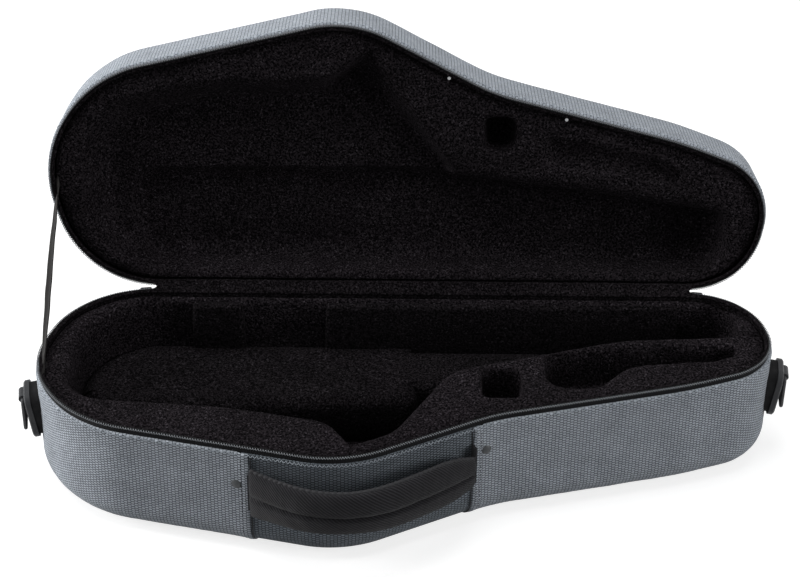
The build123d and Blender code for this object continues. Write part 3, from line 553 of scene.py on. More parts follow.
tape_cloth = ribbed_material("tape_cloth", (0.011, 0.0115, 0.013), (0.003, 0.003, 0.0035), 0.0016, 0.7, 0.5)
# The coil's pale grey is painted highlight: the wire itself is black like its tape.
coil_nylon_painted_highlight = moulded_material("coil_nylon_painted_highlight", (0.235, 0.245, 0.260), (0.130, 0.138, 0.150), 0.42, 0.003, 0.05)
tape_columns, tape_rows = 640, 12
coil_sides, turn_steps = 5, 8
for half, body in halves:
    s = np.linspace(zip_overrun, zip_length - zip_overrun, tape_columns)[None, :]
    depth = rim_gap + (tape_low - rim_gap) * np.linspace(0, 1, tape_rows)[:, None]
    sway = 0.00016 * ripple(s, depth, 0.03)
    outer, inner = (stand(wall(s, inset - sway, depth, half), half)
                    for inset in (tape_inset, tape_inset + tape_thickness))
    tape = slab(body + "_tape", outer, inner, places(s, depth), flip=half == BASE)
    settle(tape, tape_cloth, "zip_tape", body, body + "_zip_tape")

    steps = int((zip_length - 2 * zip_overrun) / coil_pitch) * turn_steps + 1
    s = np.linspace(zip_overrun, zip_length - zip_overrun, steps)
    phase = (np.arange(steps) / turn_steps * 2 * pi)[:, None]
    around_wire = np.linspace(0, 2 * pi, coil_sides + 1)[None, :-1]
    reach = 1 + coil_wire / coil_half_width * np.cos(around_wire)
    place, normal = along(case_runs, s)
    ahead = np.stack([-normal[:, 1], normal[:, 0]], -1)
    sideways = coil_wire * np.sin(around_wire)
    inset = coil_inset - coil_half_width * reach * np.cos(phase)
    depth = coil_depth + coil_half_height * reach * np.sin(phase)
    flat = place[:, None] - normal[:, None] * inset[..., None] + ahead[:, None] * sideways[..., None]
    faces = capped(steps, coil_sides)
    faces = [face[::-1] for face in faces] if half == BASE else faces
    coil = put(body + "_coil", stand(at_height(flat, base_height + half * depth), half), faces, sharp=80)
    settle(coil, coil_nylon_painted_highlight, "zip_coil", body, body + "_zip_coil")

# Zigzag thread along the fabric's turned edge beside the zip, and two straight rows of
# stitches beside each seam, each stitch thinner towards its ends. A black cord in each seam
# is painted shadow: it stands in for the shade in the seam's gap.
thread_radius = 0.00032
zigzag_drop = 0.0012
zigzag_reach = 0.0011
zigzag_pitch = 0.0035


def thread_material(name, light, dark):
    """Sewing thread, mottled in two tones."""
    made, tree, place = blank_material(name, Roughness=0.7, Specular_IOR_Level=0.2)
    join(tree, tone(tree, noise(tree, place, 900.0, 1.0), dark, light))
    return made


pale_thread = thread_material("pale_thread", (0.47, 0.51, 0.56), (0.22, 0.25, 0.28))
dark_thread = thread_material("dark_thread", (0.028, 0.028, 0.031), (0.010, 0.010, 0.011))


def unit(vectors):
    """Vectors of length 1."""
    return vectors / np.linalg.norm(vectors, axis=1, keepdims=True)


def tube(path, radius, sides=5):
    """Points and faces of a closed tube: rings square to a path, with a flat end at both ends."""
    ahead = unit(np.gradient(path, axis=0))
    across = unit(np.cross(ahead, [0.13, 0.21, 0.97]))
    above = np.cross(across, ahead)
    angle = np.linspace(0, 2 * pi, sides + 1)[:-1]
    ring = across[:, None] * np.cos(angle)[None, :, None] + above[:, None] * np.sin(angle)[None, :, None]
    points = path[:, None] + np.broadcast_to(radius, len(path))[:, None, None] * ring
    return points, capped(len(path), sides)


def stitch_row(name, starts, ends, material, slot, body):
    """One mesh of separate stitches: each is a five-sided spindle from a start to an end."""
    ahead = ends - starts
    across = unit(np.cross(ahead, [0.31, 0.17, 0.93]))
    above = unit(np.cross(ahead, across))
    share = np.array([0.0, 0.18, 0.5, 0.82, 1.0])
    thick = np.array([0.35, 0.9, 1.0, 0.9, 0.35]) * thread_radius
    angle = np.linspace(0, 2 * pi, 6)[:-1]
    ring = (across[:, None, None] * np.cos(angle)[None, None, :, None]
            + above[:, None, None] * np.sin(angle)[None, None, :, None])
    points = (starts[:, None, None] + ahead[:, None, None] * share[None, :, None, None]
              + ring * thick[None, :, None, None])
    faces = [[i + 25 * k for i in reversed(face)] for k in range(len(starts)) for face in capped(5, 5)]
    settle(put(name, points, faces, sharp=80), material, slot, body)


for half, body in halves:
    s = np.arange(0.004, zip_length - 0.004, zigzag_pitch / 6)
    swing = np.abs((s / zigzag_pitch) % 1.0 * 2 - 1) * 2 - 1
    depth = zip_band_height + zigzag_drop + zigzag_reach * swing
    path = wall(s, -0.00005 + turned_in(depth - zip_band_height, hem, seam_fall), depth, half)
    points, faces = tube(path, thread_radius)
    zigzag = put(body + "_edge_stitching", stand(points, half), faces, sharp=80)
    settle(zigzag, pale_thread, "cover_fabric", body)

stitch_length = 0.0030
stitch_rise = 0.0003
stitch_rows = (0.0038, 0.0072)
seam_shadow_cord_radius = 0.0005
stitch_pitch = 0.0044
for name, seam_s, side in (("left", seam_left_s, -1), ("right", seam_right_s, 1)):
    q = np.arange(zip_band_height + 0.006, side_length - 0.012, stitch_pitch)
    ends = []
    for at in (q, q + stitch_length):
        inset, depth = down_wall(at, 0.0, base_height, base_edge_radius)
        rows = [wall(np.full_like(q, seam_s + side * off), inset - stitch_rise, depth, BASE)
                for off in stitch_rows]
        ends.append(np.concatenate(rows))
    stitch_row("seam_stitches_" + name, *ends, dark_thread, "cover_fabric", "base")

    # A black cord along the seam: painted shadow, standing in for the shade in its gap.
    q = np.linspace(zip_band_height + 0.001, side_length - 0.004, 120)
    sway = 0.0007 * np.sin((q - zip_band_height) / 0.011 + 1.0) + 0.0003 * np.sin(q / 0.006)
    inset, depth = down_wall(q, 0.0004, base_height, base_edge_radius)
    path = wall(seam_s - side * (0.0006 + 0.4 * sway), inset, depth, BASE)
    points, faces = tube(path, seam_shadow_cord_radius, 7)
    settle(put("seam_shadow_cord_" + name, points, faces, sharp=80), dark_thread, "cover_fabric", "base")

# Fitted inserts: blocks of moulded foam covered with short black plush. Lands, pockets and
# walls are one soft skin, with round edges where it turns down into each pocket.
insert_inset = 0.0068
end_crowding, front_share = 0.055, 0.72
land_drop = 0.0034
base_floor_depth = base_height - 0.0065 - 0.012
lid_floor_depth = lid_depth - 0.0049 - 0.008
base_cavity_shares = (
    (-0.899, 0.054, 0.330), (-0.914, 0.635, 0.150), (-0.480, 0.682, 0.800), (-0.203, 0.762, 0.130),
    (-0.140, 0.890, 0.020), (-0.034, 0.815, 0.140), (0.118, 0.465, 0.200), (0.587, 0.274, 0.600),
    (0.914, 0.244, 0.045), (0.921, 0.054, 0.090),
)
mouthpiece_pocket_shares = (
    (0.200, 0.462, 0.040), (0.206, 0.628, 0.025), (0.302, 0.628, 0.025), (0.312, 0.462, 0.040),
)
neck_pocket_shares = (
    (0.376, 0.374, 0.082), (0.376, 0.566, 0.082), (0.515, 0.566, 0.070), (0.600, 0.435, 0.160),
    (0.835, 0.400, 0.100), (0.905, 0.362, 0.015), (0.902, 0.322, 0.015), (0.560, 0.334, 0.250),
)
lid_bell_shares = (
    (-0.905, 0.060, 0.280), (-0.915, 0.690, 0.240), (-0.540, 0.785, 0.500), (-0.215, 0.800, 0.150),
    (-0.105, 0.915, 0.010), (0.134, 0.455, 0.050), (0.134, 0.060, 0.060),
)
lid_bell_floor_shares = (
    (-0.820, 0.100, 0.200), (-0.835, 0.590, 0.200), (-0.540, 0.690, 0.450), (-0.250, 0.705, 0.150),
    (-0.142, 0.806, 0.010), (0.104, 0.436, 0.050), (0.104, 0.100, 0.060),
)
lid_body_shares = (
    (-0.790, 0.060, 0.160), (-0.790, 0.437, 0.120), (0.035, 0.447, 0.600), (0.560, 0.358, 0.900),
    (0.886, 0.292, 0.045), (0.900, 0.060, 0.110),
)
lid_pit_shares = (
    (0.212, 0.522, 0.045), (0.208, 0.652, 0.030), (0.300, 0.655, 0.038), (0.298, 0.520, 0.050),
)
lid_crook_shares = (
    (0.390, 0.480, 0.045), (0.375, 0.585, 0.025), (0.700, 0.500, 0.100), (0.790, 0.405, 0.018),
)


def inside(shares, x, y):
    """Distance from each place to an outline, positive inside it.

    Arcs become chords of six degrees. The distance to a chord is taken to its nearest point,
    and the sign counts how often a line towards +X crosses the outline.
    """
    runs = rounded_runs(shares)
    marks = np.concatenate([[0.0], np.cumsum(runs[:, 4])])
    cuts = np.maximum(1, np.ceil(np.abs(runs[:, 3]) * runs[:, 4] / radians(6))).astype(int)
    s = np.concatenate([start + length * np.arange(cut) / cut
                        for start, length, cut in zip(marks, runs[:, 4], cuts)])
    corners, _ = along(runs, s)
    nearest = np.full(x.shape, 9.0)
    odd = np.zeros(x.shape, dtype=bool)
    for (x0, y0), (x1, y1) in zip(corners, np.roll(corners, -1, axis=0)):
        length = (x1 - x0) ** 2 + (y1 - y0) ** 2
        t = np.clip(((x - x0) * (x1 - x0) + (y - y0) * (y1 - y0)) / max(length, 1e-12), 0, 1)
        nearest = np.minimum(nearest, np.hypot(x - x0 - t * (x1 - x0), y - y0 - t * (y1 - y0)))
        crosses = (y0 > y) != (y1 > y)
        if abs(y1 - y0) > 1e-12:
            odd ^= crosses & (x < x0 + (y - y0) * (x1 - x0) / (y1 - y0))
    return np.where(odd, nearest, -nearest)


def pocket(t, deep, edge, foot, draft):
    """Drop below the land at a distance t inside a pocket's mouth.

    A quarter round of radius edge turns the land down, a wall leans in by the draft angle,
    and a quarter round of radius foot meets the floor.
    """
    run = deep * tan(radians(draft))
    top = edge - np.sqrt(np.maximum(edge ** 2 - np.clip(t + edge, 0, edge) ** 2, 0))
    side = edge + (deep - edge - foot) * np.clip(t / run, 0, 1)
    low = deep - foot + np.sqrt(np.maximum(foot ** 2 - np.clip(foot - (t - run), 0, foot) ** 2, 0))
    return np.where(t < 0, top, np.where(t < run, side, low))


def plan_grid(inset, columns, rows, split=None):
    """Grid of places over the case's plan, and how far each is from the plan's edge.

    The rows fit between the front and back edges, and the columns crowd towards both ends,
    where the outline turns across them. With a split, one row keeps to that y as far as the
    plan's ends let it, with a close row on each side.
    """
    point, normal = along(case_runs, np.linspace(0, round_length, 6000, endpoint=False))
    edge = point - normal * inset
    left, right = edge[:, 0].min() + 0.00015, edge[:, 0].max() - 0.00015
    share = np.linspace(0, 1, columns)
    share = share - end_crowding * np.sin(2 * pi * share) / (2 * pi) * 2
    x = left + (right - left) * share
    first = edge[:, 0].argmin()
    ring = np.roll(edge, -first, axis=0)
    last = ring[:, 0].argmax()
    y_front = np.interp(x, ring[:last + 1, 0], ring[:last + 1, 1])
    y_back = np.interp(x, ring[last:, 0][::-1], ring[last:, 1][::-1])
    v = np.linspace(0, 1, rows)[:, None]
    if split is None:
        y = y_front + (y_back - y_front) * v
    else:
        middle = np.clip(split, y_front + 0.25 * (y_back - y_front), y_back - 0.1 * (y_back - y_front))
        front_rows = int(rows * front_share)
        lower = y_front + (middle - y_front) * np.linspace(0, 1, front_rows)[:, None]
        upper = middle + (y_back - middle) * np.linspace(0, 1, rows - front_rows + 1)[1:, None]
        y = np.concatenate([lower[:-1], middle[None] - 0.0006, middle[None], middle[None] + 0.0006, upper])
    x = np.broadcast_to(x, y.shape)
    return x, y, inside(case_corner_shares, x, y) - inset


def under_side(t, radius):
    """How far the foam's underside is drawn up at a distance t from its edge: a quarter circle."""
    return radius - np.sqrt(np.maximum(radius ** 2 - np.clip(radius - t, 0, radius) ** 2, 0))


def deepest(drop, x, y, pockets):
    """The deepest of a drop and of pockets, each an outline with its depth, edge, foot and draft."""
    for shares, deep, edge, foot, draft in pockets:
        drop = np.maximum(drop, pocket(inside(shares, x, y), deep, edge, foot, draft))
    return drop


def faced(x, y, top, low, opened=False):
    """Upper and lower faces over one plan, and its places for the weave or the pile."""
    faces = [np.stack([x, y, height], -1) for height in (top, low)]
    return (*(map(open_lid, faces) if opened else faces), places(x, y))


plush = plush_material("black_plush", (0.0165, 0.0138, 0.0160), (0.0015, 0.0012, 0.0016),
                       (0.054, 0.047, 0.054))
columns, rows = 330, 124
groove_depth, groove_width = 0.0022, 0.0008
base_roll, base_roll_reach = 0.0022, 0.0024
lid_roll, lid_roll_reach = 0.0030, 0.0040
least_foam = 0.002
bell_mouth_outset = 0.0008
split_x, split_y = -0.140 * case_length / 2, hinge_y - 0.250 * case_width

x, y, t = plan_grid(insert_inset, columns, rows, split_y)
drop = deepest(0.0, x, y, (
    (base_cavity_shares, base_floor_depth - land_drop, 0.008, 0.007, 4),
    (mouthpiece_pocket_shares, 0.55 * base_floor_depth, 0.0035, 0.003, 4),
    (neck_pocket_shares, 0.42 * base_floor_depth, 0.0050, 0.004, 4)))
near_split = np.where(y < split_y, np.abs(x - split_x), 9.0)
near_split = np.minimum(near_split, np.where(x > split_x, np.abs(y - split_y), 9.0))
seam_groove = groove_depth * np.exp(-(near_split / groove_width) ** 2) * (1 - np.clip(drop / 0.02, 0, 1))
uneven_by = 0.00035 * ripple(x, y, 0.05) + 0.00022 * ripple(x, y, 0.017)
roll = base_roll * np.exp(-t / base_roll_reach)
top = base_height - land_drop - drop - seam_groove - roll - uneven_by
low = np.minimum(insert_inset + under_side(t, base_edge_radius - insert_inset), top - least_foam)
base_plush = slab("base_plush_insert", *faced(x, y, top, low), sharp=75)
settle(base_plush, plush, "plush_foam", "base", "base_insert", "base_neck_block", fill=0.9)

x, y, t = plan_grid(insert_inset, columns, rows)
mouth = inside(lid_bell_shares, x, y) + bell_mouth_outset
floor_edge = inside(lid_bell_floor_shares, x, y)
share = np.clip(mouth / np.maximum(mouth + np.maximum(-floor_edge, 0), 1e-6), 0, 1)
share = np.where(mouth <= 0, 0.0, share)
bell_deep = 0.53 * lid_floor_depth - land_drop
drop = deepest(bell_deep * (0.45 * share + 0.55 * share ** 2 * (3 - 2 * share)), x, y, (
    (lid_body_shares, 0.72 * lid_floor_depth - land_drop, 0.012, 0.016, 4),
    (lid_pit_shares, 0.60 * lid_floor_depth - land_drop, 0.0045, 0.003, 8),
    (lid_crook_shares, 0.19 * lid_floor_depth - land_drop, 0.004, 0.003, 28)))
uneven_by = 0.0005 * ripple(x, y, 0.06) + 0.00025 * ripple(x, y, 0.021)
roll = lid_roll * np.exp(-t / lid_roll_reach)
top = base_height + land_drop + drop + roll + uneven_by
low = np.maximum(base_height + 0.72 * lid_floor_depth + 0.0077, top + least_foam)
lid_plush = slab("lid_plush_insert", *faced(x, y, top, low, True), flip=True, sharp=75)
settle(lid_plush, plush, "plush_foam", "lid", "lid_insert", "lid_neck_block", fill=0.9)


# Loose pads in the base: plush over foam, glued to the cavity's floor to hold the bow and
# the body tube, and two thin ones against the back wall.
def pad(name, shares, low, tall, edge, crown, node):
    """Crowned pad: rings of its outline drawn in by a quarter round at the top, then towards
    the middle, rising by a parabola to the crown. The underside is one flat face."""
    runs = rounded_runs(shares)
    length = runs[:, 4].sum()
    count = max(60, int(length / 0.003))
    s = np.linspace(0, length, count, endpoint=False)
    place, normal = along(runs, s)
    turn = np.linspace(0, pi / 2, 7)
    inset = np.concatenate([[0.0, -0.0012, -0.0016, -0.0010], edge * (1 - np.cos(turn))])
    height = np.concatenate([[0.0, 0.18, 0.5, 0.82], np.zeros(7)]) * (tall - edge) + low
    height[4:] = low + tall - edge + edge * np.sin(turn)
    ring = place[None] - normal[None] * inset[:, None, None]
    centre = place.mean(0)
    shrink = np.linspace(1, 0.02, 14)[1:]
    inward = centre + (ring[-1][None] - centre) * shrink[:, None, None]
    rise = low + tall + crown * (1 - shrink ** 2)
    flat = np.concatenate([ring, inward])
    z = np.concatenate([height, rise])[:, None] + 0.0003 * ripple(flat[..., 0], flat[..., 1], 0.03)
    z[0] = low
    made = put(name, at_height(flat, z), capped(len(flat), count), sharp=75)
    settle(made, shaded_pad_plush, "plush_foam", "base", node, fill=0.9)


# The pads' plush is the lining's plush made darker: painted shade of the deep cavity.
shaded_pad_plush = plush_material("shaded_pad_plush", (0.0115, 0.0098, 0.0112), (0.0012, 0.0010, 0.0012),
                           (0.034, 0.030, 0.034))
floor_z = base_height - base_floor_depth
back_tall = base_height - land_drop - floor_z
pad("bow_cushion",
    ((-0.893, 0.066, 0.290), (-0.897, 0.452, 0.120), (-0.300, 0.440, 0.300), (0.030, 0.412, 0.050),
     (0.030, 0.066, 0.020)), floor_z, 0.48 * base_floor_depth, 0.012, 0.0010, "bow_pad")
pad("body_cushion",
    ((-0.020, 0.100, 0.020), (-0.020, 0.330, 0.020), (0.080, 0.330, 0.100), (0.440, 0.235, 0.300),
     (0.885, 0.200, 0.030), (0.885, 0.100, 0.020)),
    floor_z, 0.475 * base_floor_depth, 0.010, 0.0008, "body_pad")
pad("back_cushion_right",
    ((-0.225, 0.062, 0.010), (-0.225, 0.100, 0.017), (0.760, 0.086, 0.010), (0.760, 0.062, 0.010)),
    floor_z, back_tall, 0.0042, 0.0, "base_back_pad_right")
pad("back_cushion_left",
    ((-0.600, 0.062, 0.010), (-0.600, 0.104, 0.017), (-0.460, 0.104, 0.017), (-0.460, 0.062, 0.010)),
    floor_z, back_tall, 0.0042, 0.0, "base_back_pad_left")

# Lid's outer fabric: a side strip and a top panel of the same honeycomb cloth, sewn together
# over a corded piping that runs round the rounded edge.
piping_radius = 0.0015
piping_angle = radians(45)
lid_edge_foot = lid_depth - lid_edge_radius
lid_side_length = lid_edge_foot + lid_edge_radius * piping_angle
piping_in = lid_edge_radius * (1 - cos(piping_angle))
lid_columns = 700
top_hem, side_hem_fall, top_hem_fall = 0.0015, 0.0012, 0.0011
stitch_tilt, stitch_lift = radians(14), 0.0002
top_crown, top_crown_reach = 0.0010, 0.05
top_columns, top_rows = 250, 92
lid_lap, lid_lap_thinning = 0.004, 0.0009
top_gap, least_cloth = 0.0011, 0.0008
s_all = np.linspace(0, round_length, lid_columns, endpoint=False)[None, :]
down = np.concatenate([edge_rows, np.linspace(even_from, lid_side_length - zip_band_height, 20)])
top_edge = cover_top(s_all)
q = top_edge + down[:, None] / down[-1] * (lid_side_length - top_edge)
by = (-ripple_height * ripple(s_all, q, ripple_size) + pucker(s_all, q - top_edge)
      + turned_in(q - top_edge, hem, hem_fall) + turned_in(lid_side_length - q, top_hem, side_hem_fall))
thick = panel_thickness - lid_lap_thinning * (q > lid_side_length - lid_lap)
outer, inner = (open_lid(on_wall(s_all, q, inwards, lid_depth, lid_edge_radius, LID))
                for inwards in (by, thick))
lid_side = slab("lid_side_cover", outer, inner, places(s_all, q), wrap=True, around=round_length)
settle(lid_side, cover_cloth, "cover_fabric", "lid", "lid_cover_side")

top_inset = piping_in + top_gap
inner_radius = lid_edge_radius - panel_thickness
x, y, t = plan_grid(top_inset, top_columns, top_rows)
arc = np.clip(lid_edge_radius - top_inset - t, 0, lid_edge_radius)
height = base_height + lid_edge_foot + np.sqrt(lid_edge_radius ** 2 - arc ** 2)
crown = top_crown * (1 - np.exp(-t / top_crown_reach))
height = height + 0.0003 * ripple(x, y, 0.07) + crown - turned_in(t, top_hem, top_hem_fall)
low_arc = np.clip(lid_edge_radius - top_inset - t, 0, inner_radius - 1e-5)
under = base_height + lid_edge_foot + np.sqrt(inner_radius ** 2 - low_arc ** 2)
lid_top = slab("lid_top_cover", *faced(x, y, height, np.minimum(under, height - least_cloth), True),
               sharp=60)
settle(lid_top, cover_cloth, "cover_fabric", "lid", "lid_cover_top")

piping_cloth = ribbed_material("piping_cloth", (0.022, 0.022, 0.025), (0.009, 0.009, 0.010), 0.0010, 1.0, 0.4)
piping_depth = lid_edge_foot + lid_edge_radius * sin(piping_angle)
points = wall(s_all, piping_in - piping_radius * np.cos(hoop_turn),
              piping_depth + piping_radius * np.sin(hoop_turn), LID)
piping = put("lid_edge_piping", open_lid(points), ring_quads(hoop_sides, lid_columns)[:, ::-1],
             places(s_all, hoop_turn / 2 / pi * 0.0094), round_length, 60)
settle(piping, piping_cloth, "piping", "lid", "lid_piping")

s = np.arange(0, round_length - stitch_pitch, stitch_pitch)
for name, tilt in (("side", piping_angle - stitch_tilt), ("top", piping_angle + stitch_tilt)):
    off = lid_edge_radius * (1 - cos(tilt)) - stitch_lift * cos(tilt)
    deep = lid_edge_foot + (lid_edge_radius + stitch_lift) * sin(tilt)
    starts, ends = (open_lid(wall(at, off + 0 * s, deep, LID)) for at in (s, s + stitch_length))
    stitch_row("lid_" + name + "_stitches", starts, ends, dark_thread, "cover_fabric", "lid")


# Padded grip: black twill webbing wrapped round foam, with one crease along its outside
# and a stitched, scalloped binding along its top edge. Its webbing ends run through the
# seams and are riveted to the shell.
grip_center_z = 0.069
grip_end_thickness, grip_mid_thickness = 0.007, 0.017
grip_end_gap, grip_mid_gap = 0.0016, 0.0100
grip_right_drop = 0.006
grip_edge = 0.0024
grip_crease, crease_place, crease_width = 0.0034, -0.02, 0.065
binding_radius, binding_swell = 0.00120, 0.00075
grip_end_x = 0.0019
grip_cloth = ribbed_material("grip_twill", (0.034, 0.033, 0.037), (0.002, 0.002, 0.0025), 0.0015, 0.5, 0.9,
                             direction="DIAGONAL")
grip_from, grip_to = front_distance(seam_left_x + grip_end_x), front_distance(seam_right_x - grip_end_x)


def grip_frame(share):
    """Inner points, normals, middle heights, thickness, plumpness and height of the grip's stations.

    A half sine lifts the grip off the wall, widest midway, and its root makes it plump. A sixth
    power draws its right end down, and its height follows a line through eight stations.
    """
    place, normal = along(case_runs, grip_from + (grip_to - grip_from) * share)
    swell = np.sin(pi * share)
    gap = grip_end_gap + grip_mid_gap * swell
    plump = np.sqrt(np.maximum(swell, 0))
    thick = grip_end_thickness + (grip_mid_thickness - grip_end_thickness) * plump
    tall = np.interp(share, (0.0, 0.1, 0.3, 0.42, 0.56, 0.82, 0.91, 1.0),
                     (0.047, 0.044, 0.041, 0.040, 0.043, 0.044, 0.039, 0.028))
    middle_z = grip_center_z - grip_right_drop * share ** 6
    return place + normal * gap[..., None], normal, middle_z, thick, plump, tall


stations = 110
share = np.linspace(0, 1, stations)
flat, normal, middle_z, thick, plump, tall = grip_frame(share)
thick, tall = thick[:, None], tall[:, None]
v = np.sin(np.linspace(-pi / 2, pi / 2, 30))[None, :]
full = np.sqrt(np.maximum(1 - np.abs(v) ** 2.6, 0))
outer_face = thick / 2 + grip_edge / 2 * (1 - full) + (thick / 2) * full
crease = grip_crease * np.exp(-((v - crease_place) / crease_width) ** 2) * (0.55 + 0.45 * plump[:, None])
length_s = share[:, None] * (grip_to - grip_from)
fold = 0.00035 * ripple(length_s, v * tall / 2, 0.022) + 0.0003 * ripple(length_s * 2.2, v * 0.01, 0.013)
outer_face = outer_face - crease + fold * full
inner_face = thick / 2 - grip_edge / 2 * (1 - full) - (thick / 2 - 0.0006) * full
out = np.concatenate([outer_face, inner_face[:, -2:0:-1]], 1)
rise = np.concatenate([v * tall / 2, (v * tall / 2)[:, -2:0:-1]], 1)
points = at_height(flat[:, None] + normal[:, None] * out[..., None], middle_z[:, None] + rise)
girth = np.concatenate([[0], np.cumsum(np.hypot(np.diff(out[50]), np.diff(rise[50])))])
grip = put("padded_grip", points, capped(stations, points.shape[1]), places(length_s, girth), sharp=65)
settle(grip, grip_cloth, "grip_webbing", "handle", "handle_grip", fill=0.7)

binding_share = np.linspace(0.004, 0.996, 420)
flat, normal, middle_z, thick, plump, tall = grip_frame(binding_share)
path = at_height(flat + normal * (thick / 2)[:, None], middle_z + tall / 2 - 0.0004)
scallop = np.abs(np.sin(binding_share * (grip_to - grip_from) * pi / stitch_pitch))
points, faces = tube(path, binding_radius + binding_swell * scallop, 9)
settle(put("grip_binding", points, faces, sharp=80), dark_thread, "grip_webbing", "handle")

strap_cloth = ribbed_material("strap_webbing", (0.034, 0.034, 0.038), (0.012, 0.012, 0.014), 0.0014, 0.6, 0.6)
strap_width = 0.036
strap_half_thickness = 0.0007
for name, seam_x, side in (("left", seam_left_x, -1), ("right", seam_right_x, 1)):
    seam_s = front_distance(seam_x)
    place, normal = along(case_runs, np.array(seam_s))
    ahead = np.array([-normal[1], normal[0]])
    inside_run = np.linspace(0.026, 0.003, 12)
    run_place, run_normal = along(case_runs, seam_s + side * inside_run)
    run_path = run_place - run_normal * 0.0018
    out_run = np.linspace(-0.0008, grip_end_gap + grip_end_thickness * 0.75, 10)
    out_path = place + normal * out_run[:, None] - ahead * side * 0.0009
    path = np.concatenate([run_path, out_path])
    step = unit(np.gradient(path, axis=0))
    square = np.stack([step[:, 1], -step[:, 0]], -1)
    z = grip_center_z + strap_width / 2 * np.linspace(-1, 1, 13)[:, None]
    outer, inner = (at_height(np.repeat((path + square * off)[None], 13, 0), z)
                    for off in (strap_half_thickness, -strap_half_thickness))
    distance = np.concatenate([[0], np.cumsum(np.linalg.norm(np.diff(path, axis=0), axis=1))])
    strap = slab("grip_strap_" + name, outer, inner, places(z, distance))
    settle(strap, strap_cloth, "webbing", None, "handle_strap_" + name)
    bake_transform(strap)


def metal_material(name, light, dark, rough, metallic=1.0):
    """Plated metal: two close tones, with rubbed patches that are a little glossier."""
    made, tree, place = blank_material(name)
    rubbed = noise(tree, place, 220.0, 5.0, Roughness=0.65)
    join(tree, tone(tree, rubbed, dark, light),
         Roughness=spread(tree, rubbed, 0.35, 0.65, rough + 0.1, rough),
         Metallic=spread(tree, rubbed, 0.2, 0.8, metallic - 0.1, metallic))
    return made


gunmetal = metal_material("gunmetal", (0.050, 0.054, 0.058), (0.018, 0.020, 0.022), 0.45, 0.4)
finish_nodes(gunmetal, "handle_rivets", "handle_rivet_washers", "strap_rivets_left", "strap_rivets_right",
             "strap_washers_left", "strap_washers_right")

# Stay: a smooth black ribbon that stops the lid, folded and tacked at both ends inside the
# left wall. It crumples towards its lower end as the lid closes, so it stays inside the wall.
stay_low, stay_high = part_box("stay_strap")
stay_x = (stay_low[0] + stay_high[0]) / 2
stay_path_length = 0.17
ribbon_half, ribbon_thickness = 0.0049, 0.0009
ribbon_sag, ribbon_cup = 0.0011, 0.0007
ribbon_cloth = ribbed_material("stay_ribbon", (0.0105, 0.0090, 0.0084), (0.006, 0.0055, 0.0052), 0.0012, 0.5,
                               0.3, 0.75)
tack_metal = metal_material("tack_metal", (0.42, 0.42, 0.43), (0.26, 0.26, 0.27), 0.35)
path_low, path_high = np.array([-0.0063, 0.1066]), np.array([0.1454, 0.1993])
along_stay = path_high - path_low
reach = np.linspace(-0.05, 1.05, 60)[:, None]
middle = path_low + along_stay * reach
bow = np.sin(pi * np.clip(reach, 0, 1))
twist = radians(40) * bow ** 0.6
upright = np.array([-along_stay[1], along_stay[0]]) / np.linalg.norm(along_stay)
across = np.linspace(-1, 1, 9)[None]
half_width = ribbon_half * across * (1 - 0.12 * bow)
yz = middle[:, None] + upright * (half_width * np.cos(twist))[..., None]
cup = ribbon_cup * (1 - across ** 2)
x_out = stay_x - 0.0004 - ribbon_sag * bow + cup + half_width * np.sin(twist)
x_out = x_out + 0.0004 * ripple(reach * stay_path_length, across * 0.005, 0.04)
face, back = (np.concatenate([(x_out - off)[..., None], yz], -1) for off in (0, ribbon_thickness))
ribbon = slab("stay_ribbon", face, back, places(ribbon_half * across, stay_path_length * reach), flip=True)
settle(ribbon, ribbon_cloth, "webbing", "base", "stay_strap")
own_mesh(ribbon)

fold_cloth = plush_material("stay_fold_cloth", (0.022, 0.020, 0.021), (0.010, 0.009, 0.010),
                            (0.045, 0.043, 0.045))
finish_nodes(fold_cloth, "base_stay_tab", "lid_stay_tab", "lid_insert_frame")
finish_nodes(tack_metal, "base_stay_tacks", "lid_stay_tacks", "lid_lining_tacks")


# Fabric hinge along the straight back: a woven leaf sewn to each half, and between the two
# lining edges a folded strip of plush that bends as the lid closes.
def webbing_material(name, light, dark):
    """Woven tape read from Object coordinates: fine crossed threads in two close tones."""
    made, tree, place = blank_material(name, Roughness=0.9, Specular_IOR_Level=0.15)
    weave = add(tree, "ShaderNodeTexBrick", {
        "Vector": place, "Color1": (1, 1, 1, 1), "Color2": (0.5, 0.5, 0.5, 1), "Mortar": (0, 0, 0, 1),
        "Scale": 1000.0, "Mortar Size": 0.14, "Mortar Smooth": 1.0, "Brick Width": 1.6,
        "Row Height": 0.8}).outputs["Color"]
    join(tree, tone(tree, weave, dark, light), weave, 0.5, 0.0004)
    return made


hinge_tape = webbing_material("hinge_tape", (0.040, 0.040, 0.044), (0.016, 0.016, 0.018))
finish_nodes(hinge_tape, "base_hinge_leaf", "lid_hinge_leaf")
leaf_low, leaf_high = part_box("base_hinge_leaf")
fold_edge_y, fold_low_z, fold_high_z = 0.1155, 0.1094, 0.1106
horn_middle, horn_edge = 0.006, 0.009
crumple_height = 0.00025
fold_faces = (0.0004, -0.0003)
fold_turn = np.linspace(0, 1, 13)[:, None]
end_horn = horn_middle + horn_edge * np.abs(2 * fold_turn - 1) ** 1.5
hinge_x = leaf_low[0] - end_horn + np.linspace(0, 1, 240) * (leaf_high[0] - leaf_low[0] + 2 * end_horn)
low_edge = np.array([fold_edge_y, fold_low_z])
high_edge = open_lid(np.array([0, fold_edge_y, fold_high_z]))[1:]
fold_middle = np.array([hinge_y - 0.0016, base_height + 0.0012])
bend = ((1 - fold_turn) ** 2 * low_edge + 2 * fold_turn * (1 - fold_turn) * fold_middle
        + fold_turn ** 2 * high_edge)
slope = unit(np.gradient(bend, axis=0))
square = np.stack([-slope[:, 1], slope[:, 0]], -1)
